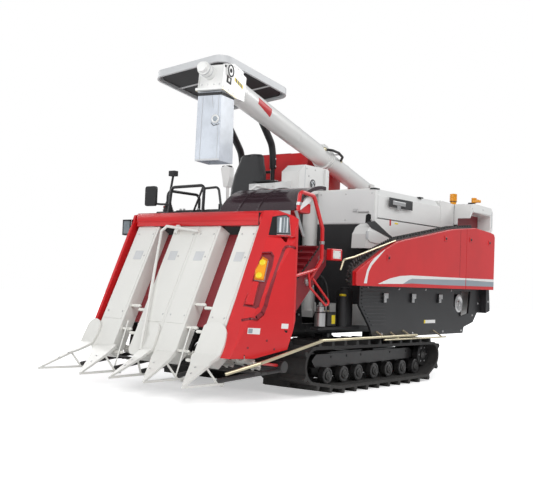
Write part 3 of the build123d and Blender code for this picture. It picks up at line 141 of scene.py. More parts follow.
def add_floor():
    """Pale floor that keeps the machine's shadow and fades to white farther out."""
    mesh = bpy.data.meshes.new("floor")
    half = FLOOR_SIZE / 2
    mesh.from_pydata([(-half, -half, 0), (half, -half, 0), (half, half, 0), (-half, half, 0)], [],
        [(0, 1, 2, 3)])
    floor = bpy.data.objects.new("floor", mesh)
    material = bpy.data.materials.new("floor_white")
    material.use_nodes = True
    tree, add = nodes_of(material)
    link = tree.links.new
    shader = tree.nodes["Principled BSDF"]
    shader.inputs["Base Color"].default_value = FLOOR_WHITE
    shader.inputs["Roughness"].default_value = FLOOR_ROUGHNESS
    glow = add("ShaderNodeEmission")
    spot = add("ShaderNodeTexCoord")
    away = add("ShaderNodeVectorMath", operation="LENGTH")
    fade = add("ShaderNodeMapRange", interpolation_type="SMOOTHSTEP")
    for key, value in FLOOR_GLOW.items():
        fade.inputs[key].default_value = value
    link(spot.outputs["Object"], away.inputs[0])
    link(away.outputs["Value"], fade.inputs["Value"])
    link(fade.outputs[0], glow.inputs["Strength"])
    dark = add("ShaderNodeEmission", Strength=0.0)
    path = add("ShaderNodeLightPath")
    seen = add("ShaderNodeMixShader")
    total = add("ShaderNodeAddShader")
    link(path.outputs["Is Camera Ray"], seen.inputs[0])
    link(dark.outputs[0], seen.inputs[1])
    link(glow.outputs[0], seen.inputs[2])
    link(shader.outputs[0], total.inputs[0])
    link(seen.outputs[0], total.inputs[1])
    link(total.outputs[0], tree.nodes["Material Output"].inputs["Surface"])
    mesh.materials.append(material)
    bpy.context.scene.collection.objects.link(floor)


bpy.context.scene.view_settings.view_transform = "Standard"
add_camera()
add_lights()
add_world()
add_floor()


# Materials

# Every finish by its plain name; Blender adds a number to a name that the CAD part uses already
FINISHES = {}


def finish_material(name, color, rough, metal=0.0, coat=0.0, tone=0.04, tone_scale=2.5, grain=0.0,
        grain_scale=300, dust=0.0, edge=0.0025):
    """Paint, plastic or metal with tone drift, fine grain, dust low down and rounded edges."""
    material = bpy.data.materials.new(name)
    material.use_nodes = True
    tree, add = nodes_of(material)
    link = tree.links.new
    shader = tree.nodes["Principled BSDF"]
    shader.inputs["Roughness"].default_value = rough
    shader.inputs["Metallic"].default_value = metal
    shader.inputs["Coat Weight"].default_value = coat
    shader.inputs["Coat Roughness"].default_value = COAT_ROUGHNESS
    place = add("ShaderNodeTexCoord")
    drift = add("ShaderNodeTexNoise", Scale=tone_scale, Detail=4.0)
    link(place.outputs["Object"], drift.inputs["Vector"])
    ramp = add("ShaderNodeValToRGB")
    dark = [channel * (1 - tone * 2) for channel in color]
    light = [min(1, channel * (1 + tone)) for channel in color]
    ramp.color_ramp.elements[0].position = 0.35
    ramp.color_ramp.elements[0].color = (*dark, 1)
    ramp.color_ramp.elements[1].position = 0.65
    ramp.color_ramp.elements[1].color = (*light, 1)
    link(drift.outputs["Fac"], ramp.inputs["Fac"])
    base = ramp.outputs["Color"]
    if dust:
        height = add("ShaderNodeSeparateXYZ")
        link(place.outputs["Object"], height.inputs[0])
        fade = add("ShaderNodeMapRange")
        for key, value in {"From Min": 0.0, "From Max": DUST_HEIGHT, "To Min": dust, "To Max": 0.0}.items():
            fade.inputs[key].default_value = value
        link(height.outputs["Z"], fade.inputs["Value"])
        spots = add("ShaderNodeTexNoise", Scale=22.0, Detail=6.0)
        link(place.outputs["Object"], spots.inputs["Vector"])
        amount = add("ShaderNodeMath", operation="MULTIPLY")
        link(fade.outputs[0], amount.inputs[0])
        link(spots.outputs["Fac"], amount.inputs[1])
        mix = add("ShaderNodeMix", data_type="RGBA")
        link(amount.outputs[0], mix.inputs["Factor"])
        link(base, mix.inputs[6])
        mix.inputs[7].default_value = DUST_COLOR
        base = mix.outputs[2]
    link(base, shader.inputs["Base Color"])
    rounded = add("ShaderNodeBevel", samples=4)
    rounded.inputs["Radius"].default_value = edge
    bump = add("ShaderNodeBump")
    bump.inputs["Strength"].default_value = grain
    bump.inputs["Distance"].default_value = BUMP_DEPTH
    fine = add("ShaderNodeTexNoise", Scale=float(grain_scale), Detail=3.0)
    link(place.outputs["Object"], fine.inputs["Vector"])
    link(fine.outputs["Fac"], bump.inputs["Height"])
    link(rounded.outputs["Normal"], bump.inputs["Normal"])
    link(bump.outputs["Normal"], shader.inputs["Normal"])
    FINISHES[name] = material
    return material


# A finish that has no variable is used by its slot only
RED = finish_material("red_paint", (0.64, 0.012, 0.016), 0.3, coat=0.35, grain=0.05)
DARK_RED = finish_material("dark_red_paint", (0.23, 0.012, 0.02), 0.45, coat=0.2, grain=0.1)
WHITE = finish_material("white_paint", (0.8, 0.8, 0.785), 0.32, coat=0.4, tone=0.012, grain=0.05)
CREAM = finish_material("cream_panel", (0.77, 0.765, 0.73), 0.38, coat=0.2, tone=0.015, grain=0.06,
    dust=0.25)
PANEL = finish_material("white_panel", (0.78, 0.785, 0.78), 0.4, tone=0.012, grain=0.06)
GREY = finish_material("grey_panel", (0.55, 0.56, 0.57), 0.5, tone=0.02, grain=0.1)
BLACK = finish_material("black_paint", (0.018, 0.018, 0.02), 0.38, coat=0.2, tone=0.1, grain=0.1, dust=0.12)
MATT_BLACK = finish_material("black_plastic", (0.02, 0.02, 0.022), 0.6, tone=0.1, grain=0.3, grain_scale=900)
STEEL = finish_material("dark_steel", (0.09, 0.09, 0.09), 0.45, metal=0.7, tone=0.1, grain=0.2, dust=0.15)
finish_material("track_rubber", (0.016, 0.016, 0.017), 0.72, tone=0.15, grain=0.5, grain_scale=160,
    dust=0.15)
HOSE = finish_material("hose_rubber", (0.015, 0.015, 0.016), 0.55, tone=0.1, grain=0.2)
VINYL = finish_material("seat_vinyl", (0.022, 0.022, 0.024), 0.5, tone=0.1, grain=0.5, grain_scale=700)
ZINC = finish_material("zinc_plate", (0.66, 0.6, 0.42), 0.3, metal=0.85, tone=0.06, grain=0.1)
CHROME = finish_material("chromed_rod", (0.8, 0.8, 0.82), 0.08, metal=1.0, tone=0.01)
SMOKED = finish_material("smoked_plastic", (0.04, 0.022, 0.028), 0.14, coat=0.5, tone=0.08)
AMBER = finish_material("amber_lens", (0.9, 0.36, 0.01), 0.15, coat=0.5, tone=0.05)
LENS = finish_material("lamp_lens", (0.72, 0.75, 0.77), 0.1, coat=0.8, tone=0.03)
finish_material("tine_nylon", (0.78, 0.77, 0.72), 0.45, tone=0.03, grain=0.1, dust=0.2)
finish_material("clear_sleeve", (0.5, 0.54, 0.6), 0.25, coat=0.3, tone=0.08, tone_scale=6.0)

CANOPY_GREY = finish_material("canopy_grey", (0.6, 0.61, 0.62), 0.45, tone=0.02, grain=0.1)

# Nodes that look otherwise than their slot
NODE_MATERIALS = {
    "oil_filters": MATT_BLACK, "header_hood": SMOKED, "crop_dividers": CREAM, "canopy_roof": CANOPY_GREY,
}

for part in frame["record"]["subparts"]:
    node = frame["nodes"][part["node"]]
    node.data.materials.clear()
    node.data.materials.append(NODE_MATERIALS.get(part["node"], FINISHES[part["material_slot"]]))


# Tools for the added pieces: every length from here on is in millimetres

MM = 0.001
CHASSIS = "chassis"
AHEAD = (1, 0, 0)
LEFT = (0, 1, 0)
RIGHT = (0, -1, 0)
UP = (0, 0, 1)
LEAST_RADIUS = 0.3


def new_piece(name, data, material, body):
    """Object from a mesh or curve, with its material, that rides on a body."""
    piece = bpy.data.objects.new(name, data)
    data.materials.append(material)
    bpy.context.scene.collection.objects.link(piece)
    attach(piece, body)
    return piece


def add_prism(shape, outline, offset):
    """Closed prism from an outline of 3-D points, moved along an offset."""
    offset = Vector(offset)
    low = [shape.verts.new(Vector(point) * MM) for point in outline]
    high = [shape.verts.new((Vector(point) + offset) * MM) for point in outline]
    shape.faces.new(list(reversed(low)))
    shape.faces.new(high)
    count = len(outline)
    for index in range(count):
        after = (index + 1) % count
        shape.faces.new((low[index], low[after], high[after], high[index]))


def add_lathe(shape, profile, origin, axis, steps=20):
    """Turned form: profile is (radius, height) pairs along an axis from an origin."""
    axis = Vector(axis).normalized()
    side = axis.orthogonal().normalized()
    across = axis.cross(side)
    rings = []
    for radius, height in profile:
        ring = []
        for step in range(steps):
            angle = 2 * math.pi * step / steps
            spoke = side * math.cos(angle) + across * math.sin(angle)
            place = Vector(origin) + axis * height + spoke * max(radius, LEAST_RADIUS)
            ring.append(shape.verts.new(place * MM))
        rings.append(ring)
    for lower, upper in zip(rings, rings[1:]):
        for step in range(steps):
            after = (step + 1) % steps
            shape.faces.new((lower[step], lower[after], upper[after], upper[step]))
    shape.faces.new(list(reversed(rings[0])))
    shape.faces.new(rings[-1])


def add_block(shape, low, high, radius):
    """Box between two corners with its edges rounded."""
    block = bmesh.new()
    bmesh.ops.create_cube(block, size=1)
    size = Vector(high) - Vector(low)
    for vertex in block.verts:
        vertex.co = (Vector(low) + Vector((vertex.co[axis] + 0.5) * size[axis] for axis in range(3))) * MM
    radius = min(radius, min(size) * 0.45) * MM
    bmesh.ops.bevel(block, geom=list(block.edges), offset=radius, segments=2, affect="EDGES", profile=0.5)
    mesh = bpy.data.meshes.new("block")
    block.to_mesh(mesh)
    block.free()
    shape.from_mesh(mesh)
    bpy.data.meshes.remove(mesh)


def finished(name, shape, material, body, smooth=False):
    """Piece from the shape built so far."""
    bmesh.ops.recalc_face_normals(shape, faces=shape.faces)
    for face in shape.faces:
        face.smooth = smooth
    mesh = bpy.data.meshes.new(name)
    shape.to_mesh(mesh)
    shape.free()
    return new_piece(name, mesh, material, body)


def plates(name, outlines, offset, material, body=CHASSIS):
    """Thin flat plates, each from an outline of 3-D points."""
    shape = bmesh.new()
    for outline in outlines:
        add_prism(shape, outline, offset)
    return finished(name, shape, material, body)


def side_plates(name, outlines, y, thick, material, body=CHASSIS):
    """Thin plates on a wall that faces left or right; outlines are (x, z)."""
    placed = [[(x, y, z) for x, z in outline] for outline in outlines]
    return plates(name, placed, (0, thick, 0), material, body)


def front_plates(name, outlines, x, thick, material, body=CHASSIS):
    """Thin plates on a wall that faces ahead or back; outlines are (y, z)."""
    placed = [[(x, y, z) for y, z in outline] for outline in outlines]
    return plates(name, placed, (thick, 0, 0), material, body)


def rectangle(x0, x1, z0, z1):
    """Corners of an upright rectangle."""
    return [(x0, z0), (x1, z0), (x1, z1), (x0, z1)]


def grid(firsts, seconds):
    """Every pair of a first and a second value."""
    return [(first, second) for first in firsts for second in seconds]


def blocks(name, spans, material, body=CHASSIS, radius=3):
    """Rounded boxes given as x0, x1, y0, y1, z0, z1."""
    shape = bmesh.new()
    for x0, x1, y0, y1, z0, z1 in spans:
        add_block(shape, (x0, y0, z0), (x1, y1, z1), radius)
    return finished(name, shape, material, body)


def bolts(name, spots, axis, size, material, body=CHASSIS):
    """Hexagon bolt heads on washers; size is the head's radius."""
    shape = bmesh.new()
    for spot in spots:
        add_lathe(shape, [(size * 1.45, -1), (size * 1.45, 1.5), (size * 1.3, 2.2)], spot, axis, 14)
        add_lathe(shape, [(size, 1), (size, size * 0.62), (size * 0.8, size * 0.75)], spot, axis, 6)
    return finished(name, shape, material, body)


def side_bolts(name, spots, y, size, material, body=CHASSIS):
    """Bolts on a wall that faces outwards, left or right; spots are (x, z)."""
    return bolts(name, [(x, y, z) for x, z in spots], LEFT if y > 0 else RIGHT, size, material, body)


def turned(name, jobs, material, body=CHASSIS, steps=24):
    """Turned pieces given as (profile, origin, axis)."""
    shape = bmesh.new()
    for profile, origin, axis in jobs:
        add_lathe(shape, profile, origin, axis, steps)
    return finished(name, shape, material, body)


def tubes(name, routes, radius, material, body=CHASSIS, order=3):
    """Smooth round bars or hoses along routes of points."""
    data = bpy.data.curves.new(name, "CURVE")
    data.dimensions = "3D"
    data.bevel_depth = radius * MM
    data.bevel_resolution = 3
    data.use_fill_caps = True
    for route in routes:
        spline = data.splines.new("NURBS")
        spline.points.add(len(route) - 1)
        for point, place in zip(spline.points, route):
            point.co = (*(Vector(place) * MM), 1)
        spline.order_u = order
        spline.use_endpoint_u = True
        spline.resolution_u = 6
    return new_piece(name, data, material, body)


def square_up(along):
    """Direction square to a run in the x-z plane, on its upper side."""
    out = Vector((-along.z, 0, along.x))
    return -out if out.z < 0 else out


def blend_line(start, end, share):
    """Point between two points."""
    return tuple(a + (b - a) * share for a, b in zip(start, end))


# The header's slanted case plane, the flank of its left cover and the headlight's face
CASE_FOOT = Vector((1740, 0, 320))
CASE_HEAD = Vector((1270, 0, 1285))
CASE_RISE = (CASE_HEAD - CASE_FOOT).normalized()
CASE_OUT = Vector((CASE_RISE.z, 0, -CASE_RISE.x))
FLANK_ORIGIN = Vector((1735, 660, 345))
FLANK_ACROSS = Vector((-0.4087, 0.9127, 0))
FLANK_UP = Vector((-0.3509, -0.1571, 0.9231))
FLANK_OUT = Vector((0.8425, 0.3773, 0.3845))
LAMP_MIDDLE = Vector((1289, 748, 1280))
LAMP_OUT = Vector((0.8859, 0.2292, 0.4032))
LAMP_ACROSS = Vector((-0.2505, 0.968, 0))
LAMP_UP = LAMP_OUT.cross(LAMP_ACROSS)


def place_on(origin, first_way, second_way, third_way):
    """Function that gives the point at three distances from an origin along three directions."""
    def place(first, second, third=0):
        return origin + first_way * first + second_way * second + third_way * third

    return place


# Points from (y, rise, proud) on the cases, and from (across, up, proud) on the flank and the headlight
on_case = place_on(CASE_FOOT, Vector(LEFT), CASE_RISE, CASE_OUT)
on_flank = place_on(FLANK_ORIGIN, FLANK_ACROSS, FLANK_UP, FLANK_OUT)
on_lamp = place_on(LAMP_MIDDLE, LAMP_ACROSS, LAMP_UP, LAMP_OUT)
SIDE_OUT = Vector((0.364, 0.9314, 0))
FRONT_OUT = Vector((0.9126, 0, 0.4088))


def on_cover(across, up, proud=0, seen=False):
    """Point on the left cover: on its flank, or past a fold on the face behind or before it."""
    point = on_flank(across, up)
    way = point - CAMERA_PLACE / MM if seen else FLANK_OUT
    for outward in (SIDE_OUT, FRONT_OUT):
        beyond = (point - FLANK_ORIGIN).dot(outward)
        if beyond > 0.5:
            return point - way * (beyond / way.dot(outward)) + outward * proud
    return point + FLANK_OUT * proud


def film(name, color, rough=0.35, tone=0.02):
    """Finish of a thin film with sharp edges: decals, seam lines, and sheets of painted shade, shadow and
    reflection.
    """
    return finish_material(name, color, rough, tone=tone, edge=0.0003)


YELLOW = film("yellow_label", (0.85, 0.66, 0.01), rough=0.4)
# White film for decals, and for a painted reflection on the side of the smoked hood
WHITE_DECAL_AND_REFLECTION = film("white_film", (0.8, 0.8, 0.79), tone=0.01)
DECAL_GREY = film("grey_film", (0.3, 0.34, 0.38))
DECAL_BLACK = film("black_film", (0.018, 0.018, 0.02))
# Red film for labels, and for a painted shadow line along the beam
RED_DECAL_AND_SHADOW = film("red_film", (0.55, 0.018, 0.024))
BRIGHT = finish_material("bright_steel", (0.62, 0.62, 0.62), 0.28, metal=0.9, tone=0.05, grain=0.05,
    edge=0.001)
# Near-black film for seams and joints, and for sheets of painted shade in a hole, a notch and the
# headlight's recess
SEAM_AND_SHADE_DARK = film("shadow_gap", (0.006, 0.006, 0.007), rough=0.8)
GLASS = finish_material("lamp_glass", (0.2, 0.23, 0.25), 0.1, coat=0.8, tone=0.1, tone_scale=14.0,
    edge=0.0005)
DARK_AMBER = finish_material("amber_rim", (0.62, 0.17, 0.005), 0.2, coat=0.4, tone=0.05, edge=0.0005)


# Left side: red cover over the feed chain

COVER_FACE = 936


def arc_band(upper, lower):
    """Closed outline between an upper and a lower row of points."""
    return upper + list(reversed(lower))


SWOOSH_TOP = [(225, 880), (120, 907), (25, 930), (-145, 955), (-341, 966), (-939, 967), (-1445, 968)]
SWOOSH_MIDDLE = [(225, 880), (50, 885), (-202, 889), (-300, 925), (-360, 937), (-939, 944), (-1445, 950)]
GREY_TOP = [(-205, 889), (-300, 924), (-360, 936), (-939, 943), (-1445, 949)]
GREY_LOWER = [(-205, 889), (-350, 896), (-939, 893), (-1445, 894)]
side_plates("cover_swoosh", [arc_band(SWOOSH_TOP, SWOOSH_MIDDLE), [(-1460, 968), (-2117, 972), (-2117, 945),
    (-1460, 950)]], COVER_FACE, 1.2, WHITE_DECAL_AND_REFLECTION)
side_plates("cover_swoosh_grey", [arc_band(GREY_TOP, GREY_LOWER), [(-1460, 949), (-2117, 944), (-2117, 897),
    (-1460, 894)]], COVER_FACE, 1.1, DECAL_GREY)
STRIP_OUTER = [(444, 882), (424, 930), (400, 989), (352, 1045), (296, 1086), (150, 1156)]
STRIP_INNER = [(396, 882), (388, 930), (372, 978), (328, 1028), (272, 1066), (120, 1166)]
side_plates("cover_front_strip", [arc_band(STRIP_OUTER, STRIP_INNER)], COVER_FACE, 1.2, WHITE_DECAL_AND_REFLECTION)
side_plates("cover_seam", [rectangle(-1316, -1312, 972, 1426)], COVER_FACE, 0.8, DARK_RED)
side_bolts("cover_bolts", ((55, 1100), (-998, 1324), (-1545, 1344), (-1990, 1338)), COVER_FACE + 4, 9, BLACK)
RIM = [(553, 872), (556, 975), (124, 1168), (-104, 1247), (-1150, 1422), (-1652, 1466), (-2020, 1442),
    (-2095, 1432), (-2119, 1400)]
tubes("cover_edge_trim", [[(x, 931, z - 4) for x, z in RIM]], 6, RED, order=2)

# Chain teeth that show above the cover's edge
TOOTH_SPACING = 36
CHAIN_LINE = [(600, 900), (571, 1000), (500, 1060), (238, 1160), (-104, 1270), (-1150, 1440)]


def chain_teeth():
    """Row of teeth and links of the feed chain along the cover's upper edge."""
    shape = bmesh.new()
    carried = 0
    for start, end in zip(CHAIN_LINE, CHAIN_LINE[1:]):
        first, last = Vector((start[0], 0, start[1])), Vector((end[0], 0, end[1]))
        run = (last - first).length
        along = (last - first) / run
        out = square_up(along)
        place = carried
        while place < run:
            middle = first + along * place + Vector((0, 868, 0))
            tooth = [middle - along * 11 - out * 14, middle + along * 11 - out * 14, middle + along * 6
                + out * 15, middle - along * 2 + out * 15]
            add_prism(shape, tooth, (0, 14, 0))
            place += TOOTH_SPACING
        carried = place - run
    return finished("feed_chain_teeth", shape, STEEL, "chassis")


chain_teeth()

# Threshing unit: side wall and front wall
WALL = 720
FRONT_WALL = -59.2
side_plates("thresher_black_strip", [[(79, 1400), (-13, 1352), (-317, 1292), (-520, 1262), (-317, 1318),
    (-60, 1420)]], WALL, 2.5, MATT_BLACK)
side_plates("thresher_fairing_face", [[(70, 1318), (20, 1334), (-100, 1322), (-322, 1262), (-322, 1240),
    (-100, 1228), (20, 1238), (68, 1268)]], WALL, 6, WHITE)
side_plates("thresher_fairing_end", [[(79, 1322), (50, 1330), (46, 1262), (79, 1258)]], WALL + 1, 6.5, GREY)
side_plates("thresher_labels", [rectangle(-345, -318, 1398, 1452)], WALL, 1.2, RED_DECAL_AND_SHADOW)
side_plates("thresher_small_labels", [rectangle(-470, -410, 1418, 1432)], WALL, 1, YELLOW)
side_plates("thresher_seams", [rectangle(-1604, -1600, 1452, 1696)], WALL, 1, SEAM_AND_SHADE_DARK)
front_plates("thresher_front_lower", [rectangle(132, 718, 700, 1395)], FRONT_WALL, 2, MATT_BLACK)
front_plates("thresher_front_panel", [rectangle(140, 712, 1402, 1684)], FRONT_WALL, 4, PANEL)
# Near-black sheet in the panel's notch: painted shade
front_plates("thresher_front_shaded_notch", [[(632, 1403), (690, 1403), (686, 1474), (660, 1484), (636, 1470)]],
    FRONT_WALL + 4, 1.5, SEAM_AND_SHADE_DARK)
blocks("thresher_front_latch", [(-56, -44, 560, 668, 1492, 1506), (-56, -46, 508, 552, 1500, 1528)], BRIGHT)
bolts("thresher_front_bolts", [(FRONT_WALL + 4, *spot) for spot in grid((165, 425, 690), (1430, 1660))],
    AHEAD, 6, BRIGHT)

# Latch and hinges of the lid
blocks("lid_latch_plate", [(-690, -262, 741.5, 745.5, 1560, 1643)], MATT_BLACK, "threshing_lid", 1.5)
blocks("lid_latch_lever", [(-545, -315, 745, 754, 1582, 1618), (-468, -402, 734.5, 748, 1542, 1580)], BRIGHT,
    "threshing_lid")
blocks("lid_hinges", [(-175, -100, 640, 696, 1700.5, 1712), (-990, -925, 640, 696, 1700.5, 1712)],
    MATT_BLACK, "threshing_lid", 2)
side_plates("lid_seam", [rectangle(-1298, -112, 1451.5, 1454.5)], 720, 1.2, SEAM_AND_SHADE_DARK, "threshing_lid")

# Recess at the rear of the left side
side_plates("rear_recess_lining", [[(-1612, 1462), (-1612, 1556), (-1662, 1618), (-2078, 1609),
    (-2078, 1476), (-1822, 1452)]], 759.5, 3, DARK_RED)
side_plates("rear_hood_seam", [rectangle(-2122, -2118, 1500, 1660)], 895, 0.8, DECAL_GREY)
side_bolts("rear_hood_bolts", ((-1645, 1660), (-1900, 1668), (-2105, 1500)), 895, 6, BRIGHT)

# Lower black cover
LOWER_FACE = 832


def latch(x, z):
    """Spans of a latch with its lever and keeper."""
    return [(x - 50, x + 22, LOWER_FACE + 14, LOWER_FACE + 21, z - 4, z + 40),
        (x - 12, x + 26, LOWER_FACE + 14, LOWER_FACE + 26, z - 38, z + 14)]


blocks("lower_cover_latches", [span for x in (-60, -560, -1090) for span in latch(x, 765)], BRIGHT)
side_plates("lower_cover_label", [rectangle(-838, -812, 538, 568)], LOWER_FACE, 1.2, YELLOW)
side_plates("lower_cover_plate", [rectangle(-1035, -840, 538, 568)], LOWER_FACE, 1.2, WHITE_DECAL_AND_REFLECTION)
side_bolts("lower_cover_bolts", ((200, 845), (-330, 845), (-830, 845), (-1360, 845), (-50, 455), (-600, 455),
    (-1200, 455), (-1600, 455), (-1850, 600), (-1980, 720)), LOWER_FACE, 7, BRIGHT)
turned("belt_pulley_face", [([(88, 0), (88, 6), (70, 10), (45, 2), (28, 2), (24, 16), (12, 18)],
    (-1580, 806.5, 720), LEFT)], BRIGHT, steps=32)

# Sight glass and edge lines of the grain elevator's head
turned("sight_glass_rim", [([(37.5, 0), (37.5, 6), (33, 8), (28.5, 6), (28.5, 0)], (0, 102.5, 1756), LEFT)],
    MATT_BLACK, steps=32)
turned("sight_glass_pane", [([(28.5, 0), (28.5, 4), (20, 5.5)], (0, 102.5, 1756), LEFT)], LENS, steps=32)
side_plates("sight_glass_marks", [[(-26, 1748), (6, 1782), (12, 1772), (-18, 1740)],
    [(4, 1744), (24, 1760), (26, 1748), (10, 1734)]], 108, 1.2, MATT_BLACK)
side_plates("elevator_head_seams", [rectangle(107, 110, 1672, 1906), rectangle(-270, -232, 1846, 1849)], 95,
    0.8, DECAL_GREY)
side_bolts("elevator_head_bolts", ((-50, 1885), (85, 1885), (85, 1690), (50, 1820)), 95.2, 6, BRIGHT)


# Header: cases, noses, beam and covers

CASES = ((-770, -530), (-350, -91), (-89, 130), (330, 520))


def case_rectangle(y0, y1, rise0, rise1, proud=0):
    """Corners of a rectangle on the plane of the cases."""
    return [on_case(y, rise, proud) for y, rise in ((y0, rise0), (y1, rise0), (y1, rise1), (y0, rise1))]


# Raised middle panel of each case
plates("case_panels", [case_rectangle(low + 22, high - 22, 235 if index != 3 else 245, 1045)
    for index, (low, high) in enumerate(CASES)], CASE_OUT * 3, CREAM, "header")
SQUARES = ((-690, -600), (-300, -220), (-30, 60), (375, 455))
plates("case_blank_plates", [case_rectangle(y0, y1, 765, 845, 3) for y0, y1 in SQUARES], CASE_OUT * 1.2,
    CANOPY_GREY, "header")
bolts("case_screws", [on_case(y1 + 22, 800, 3) for y0, y1 in SQUARES]
    + [on_case(y, rise, 3) for low, high in CASES for y in (low + 40, high - 40) for rise in (300, 1000)],
    CASE_OUT, 5, BRIGHT, "header")

# Bolts on the five noses
NOSE_BEND = Vector((1865, 0, 268))
NOSE_TIP = Vector((2150, 0, 148))
NOSE_OUT = Vector((0.388, 0, 0.922))


def on_nose(y, share, proud=0):
    """Point on the forward blade of a nose, between its bend and its tip."""
    return NOSE_BEND + (NOSE_TIP - NOSE_BEND) * share + Vector((0, y, 0)) + NOSE_OUT * proud


bolts("nose_bolts", [on_nose(y, 0.12, 0.5) for y in (-855, -535, -148, 75, 475)]
    + [on_nose(y, 0.4, 0.5) for y in (-872, -500, -138, 118, 510)], NOSE_OUT, 6, BRIGHT, "header")

# Left cover: blank labels, a hole filled with painted shade, a groove and a recess darkened with painted
# shade, the headlight with a dark housing that is a sheet of painted shade for its recess, and the amber
# lamp
def cover_plates(name, outlines, proud, thick, material):
    """Thin plates on the left cover where the camera sees them; outlines are (across, up)."""
    placed = [[on_cover(*point, proud, True) for point in outline] for outline in outlines]
    return plates(name, placed, SIDE_OUT * thick, material, "header")


cover_plates("left_cover_labels", [rectangle(93, 183, 208, 163), rectangle(331, 380, 252, 215)], 0, 1,
    WHITE_DECAL_AND_REFLECTION)
cover_plates("left_cover_label_marks", [rectangle(98, 128, 202, 169)], 1, 0.8, DECAL_GREY)
# Near-black sheet in the hole: painted shade
cover_plates("left_cover_shaded_hole", [[(352, 203), (378, 203), (378, 186), (366, 186)]], 0.2, 0.5, SEAM_AND_SHADE_DARK)
# Near-black sheet to the left of the headlight: painted shade of its recess
plates("headlight_recess_shade", [[on_lamp(*p, 0.5) for p in ((-106, 76), (-72, 80), (-42, -78), (-106, -76))]],
    LAMP_OUT * 3, SEAM_AND_SHADE_DARK, "header")


def ring_band(outer, share, lift, place):
    """Outlines of a rim between an outline and the same outline shrunk to its middle."""
    middle = (sum(p[0] for p in outer) / len(outer), sum(p[1] for p in outer) / len(outer))
    inner = [(middle[0] + (x - middle[0]) * share, middle[1] + (y - middle[1]) * share) for x, y in outer]
    count = len(outer)
    return [[place(*outer[i], lift), place(*outer[(i + 1) % count], lift),
        place(*inner[(i + 1) % count], lift), place(*inner[i], lift)] for i in range(count)]


def band_along(line, half, lift, place):
    """Strip of outlines along a line of (across, up) points."""
    outlines = []
    for (x0, y0), (x1, y1) in zip(line, line[1:]):
        run = math.hypot(x1 - x0, y1 - y0)
        nx, ny = -(y1 - y0) / run * half, (x1 - x0) / run * half
        ex, ey = (x1 - x0) / run * half * 0.35, (y1 - y0) / run * half * 0.35
        outlines.append([place(x0 - ex + nx, y0 - ey + ny, lift), place(x1 + ex + nx, y1 + ey + ny, lift),
            place(x1 + ex - nx, y1 + ey - ny, lift), place(x0 - ex - nx, y0 - ey - ny, lift)])
    return outlines


GROOVE = ((352, 850), (310, 850), (290, 842), (278, 815), (240, 640), (201, 460), (190, 395), (172, 340),
    (140, 296), (100, 276), (40, 264))
# Dark red strip over the real groove, wider than it: painted shade
plates("left_cover_shaded_groove", band_along(GROOVE, 11, 0.4, on_cover), FLANK_OUT * 0.6, DARK_RED, "header")
RECESS = ((123, 791), (186, 797), (211, 768), (207, 686), (149, 372), (130, 356), (34, 374))
# Dark red plate on the recess floor and a dark red strip along its edge: painted shade
plates("left_cover_shaded_recess", [[on_flank(x, y, -17.8) for x, y in RECESS]], FLANK_OUT * 0.8, DARK_RED,
    "header")
RECESS_EDGE = ((123, 795), (188, 799), (211, 768), (207, 686), (149, 372), (130, 358), (34, 376))
plates("left_cover_recess_edge", band_along(RECESS_EDGE, 5, 0.3, on_cover), FLANK_OUT * 0.5, DARK_RED,
    "header")
HEADLIGHT = ((-71, 75), (8, 86), (30, 70), (71, -77), (-41, -75))
plates("headlight_glass", [[on_lamp(x * 0.97, y * 0.97, 12) for x, y in HEADLIGHT]], LAMP_OUT, GLASS,
    "header")
plates("headlight_rim", ring_band(HEADLIGHT, 0.9, 12.2, on_lamp), LAMP_OUT * 4, MATT_BLACK, "header")
plates("headlight_ribs", [[on_lamp(x, -60, 13), on_lamp(x + w, -60, 13), on_lamp(x + w - 17, 62, 13),
    on_lamp(x - 17, 62, 13)] for x, w in ((-22, 15), (12, 4), (36, 8))], LAMP_OUT * 0.8, LENS, "header")
AMBER_LAMP = ((132, 758), (174, 736), (163, 569), (91, 574), (88, 653))
plates("amber_lamp_glass", [[on_flank(x, y, 5.8) for x, y in AMBER_LAMP]], FLANK_OUT * 1.2, AMBER, "header")
plates("amber_lamp_rim", ring_band(AMBER_LAMP, 0.86, 6.8, on_flank), FLANK_OUT * 3, DARK_AMBER, "header")
turned("amber_bulbs", [([(24, 0), (22, 4), (12, 7)], on_flank(x, y, 6.8), FLANK_OUT)
    for x, y in ((136, 712), (122, 610))], YELLOW, "header")
bolts("left_cover_bolts", [on_cover(*p, 0, True) for p in ((110, 60), (300, 60), (240, 120))], SIDE_OUT, 6,
    DARK_RED, "header")

# Beam: painted shadow line along it, a thin strip of dark red film, and the dark joint at its end
plates("beam_shadow_line", [[(1292.5, -790, 1325), (1292.5, 500, 1325), (1292.2, 500, 1328),
    (1292.2, -790, 1328)]], (0.6, 0, 0), RED_DECAL_AND_SHADOW, "header")
blocks("beam_end_joint", [(1262, 1293.5, 512, 518, 1292, 1385)], SEAM_AND_SHADE_DARK, "header", 1)

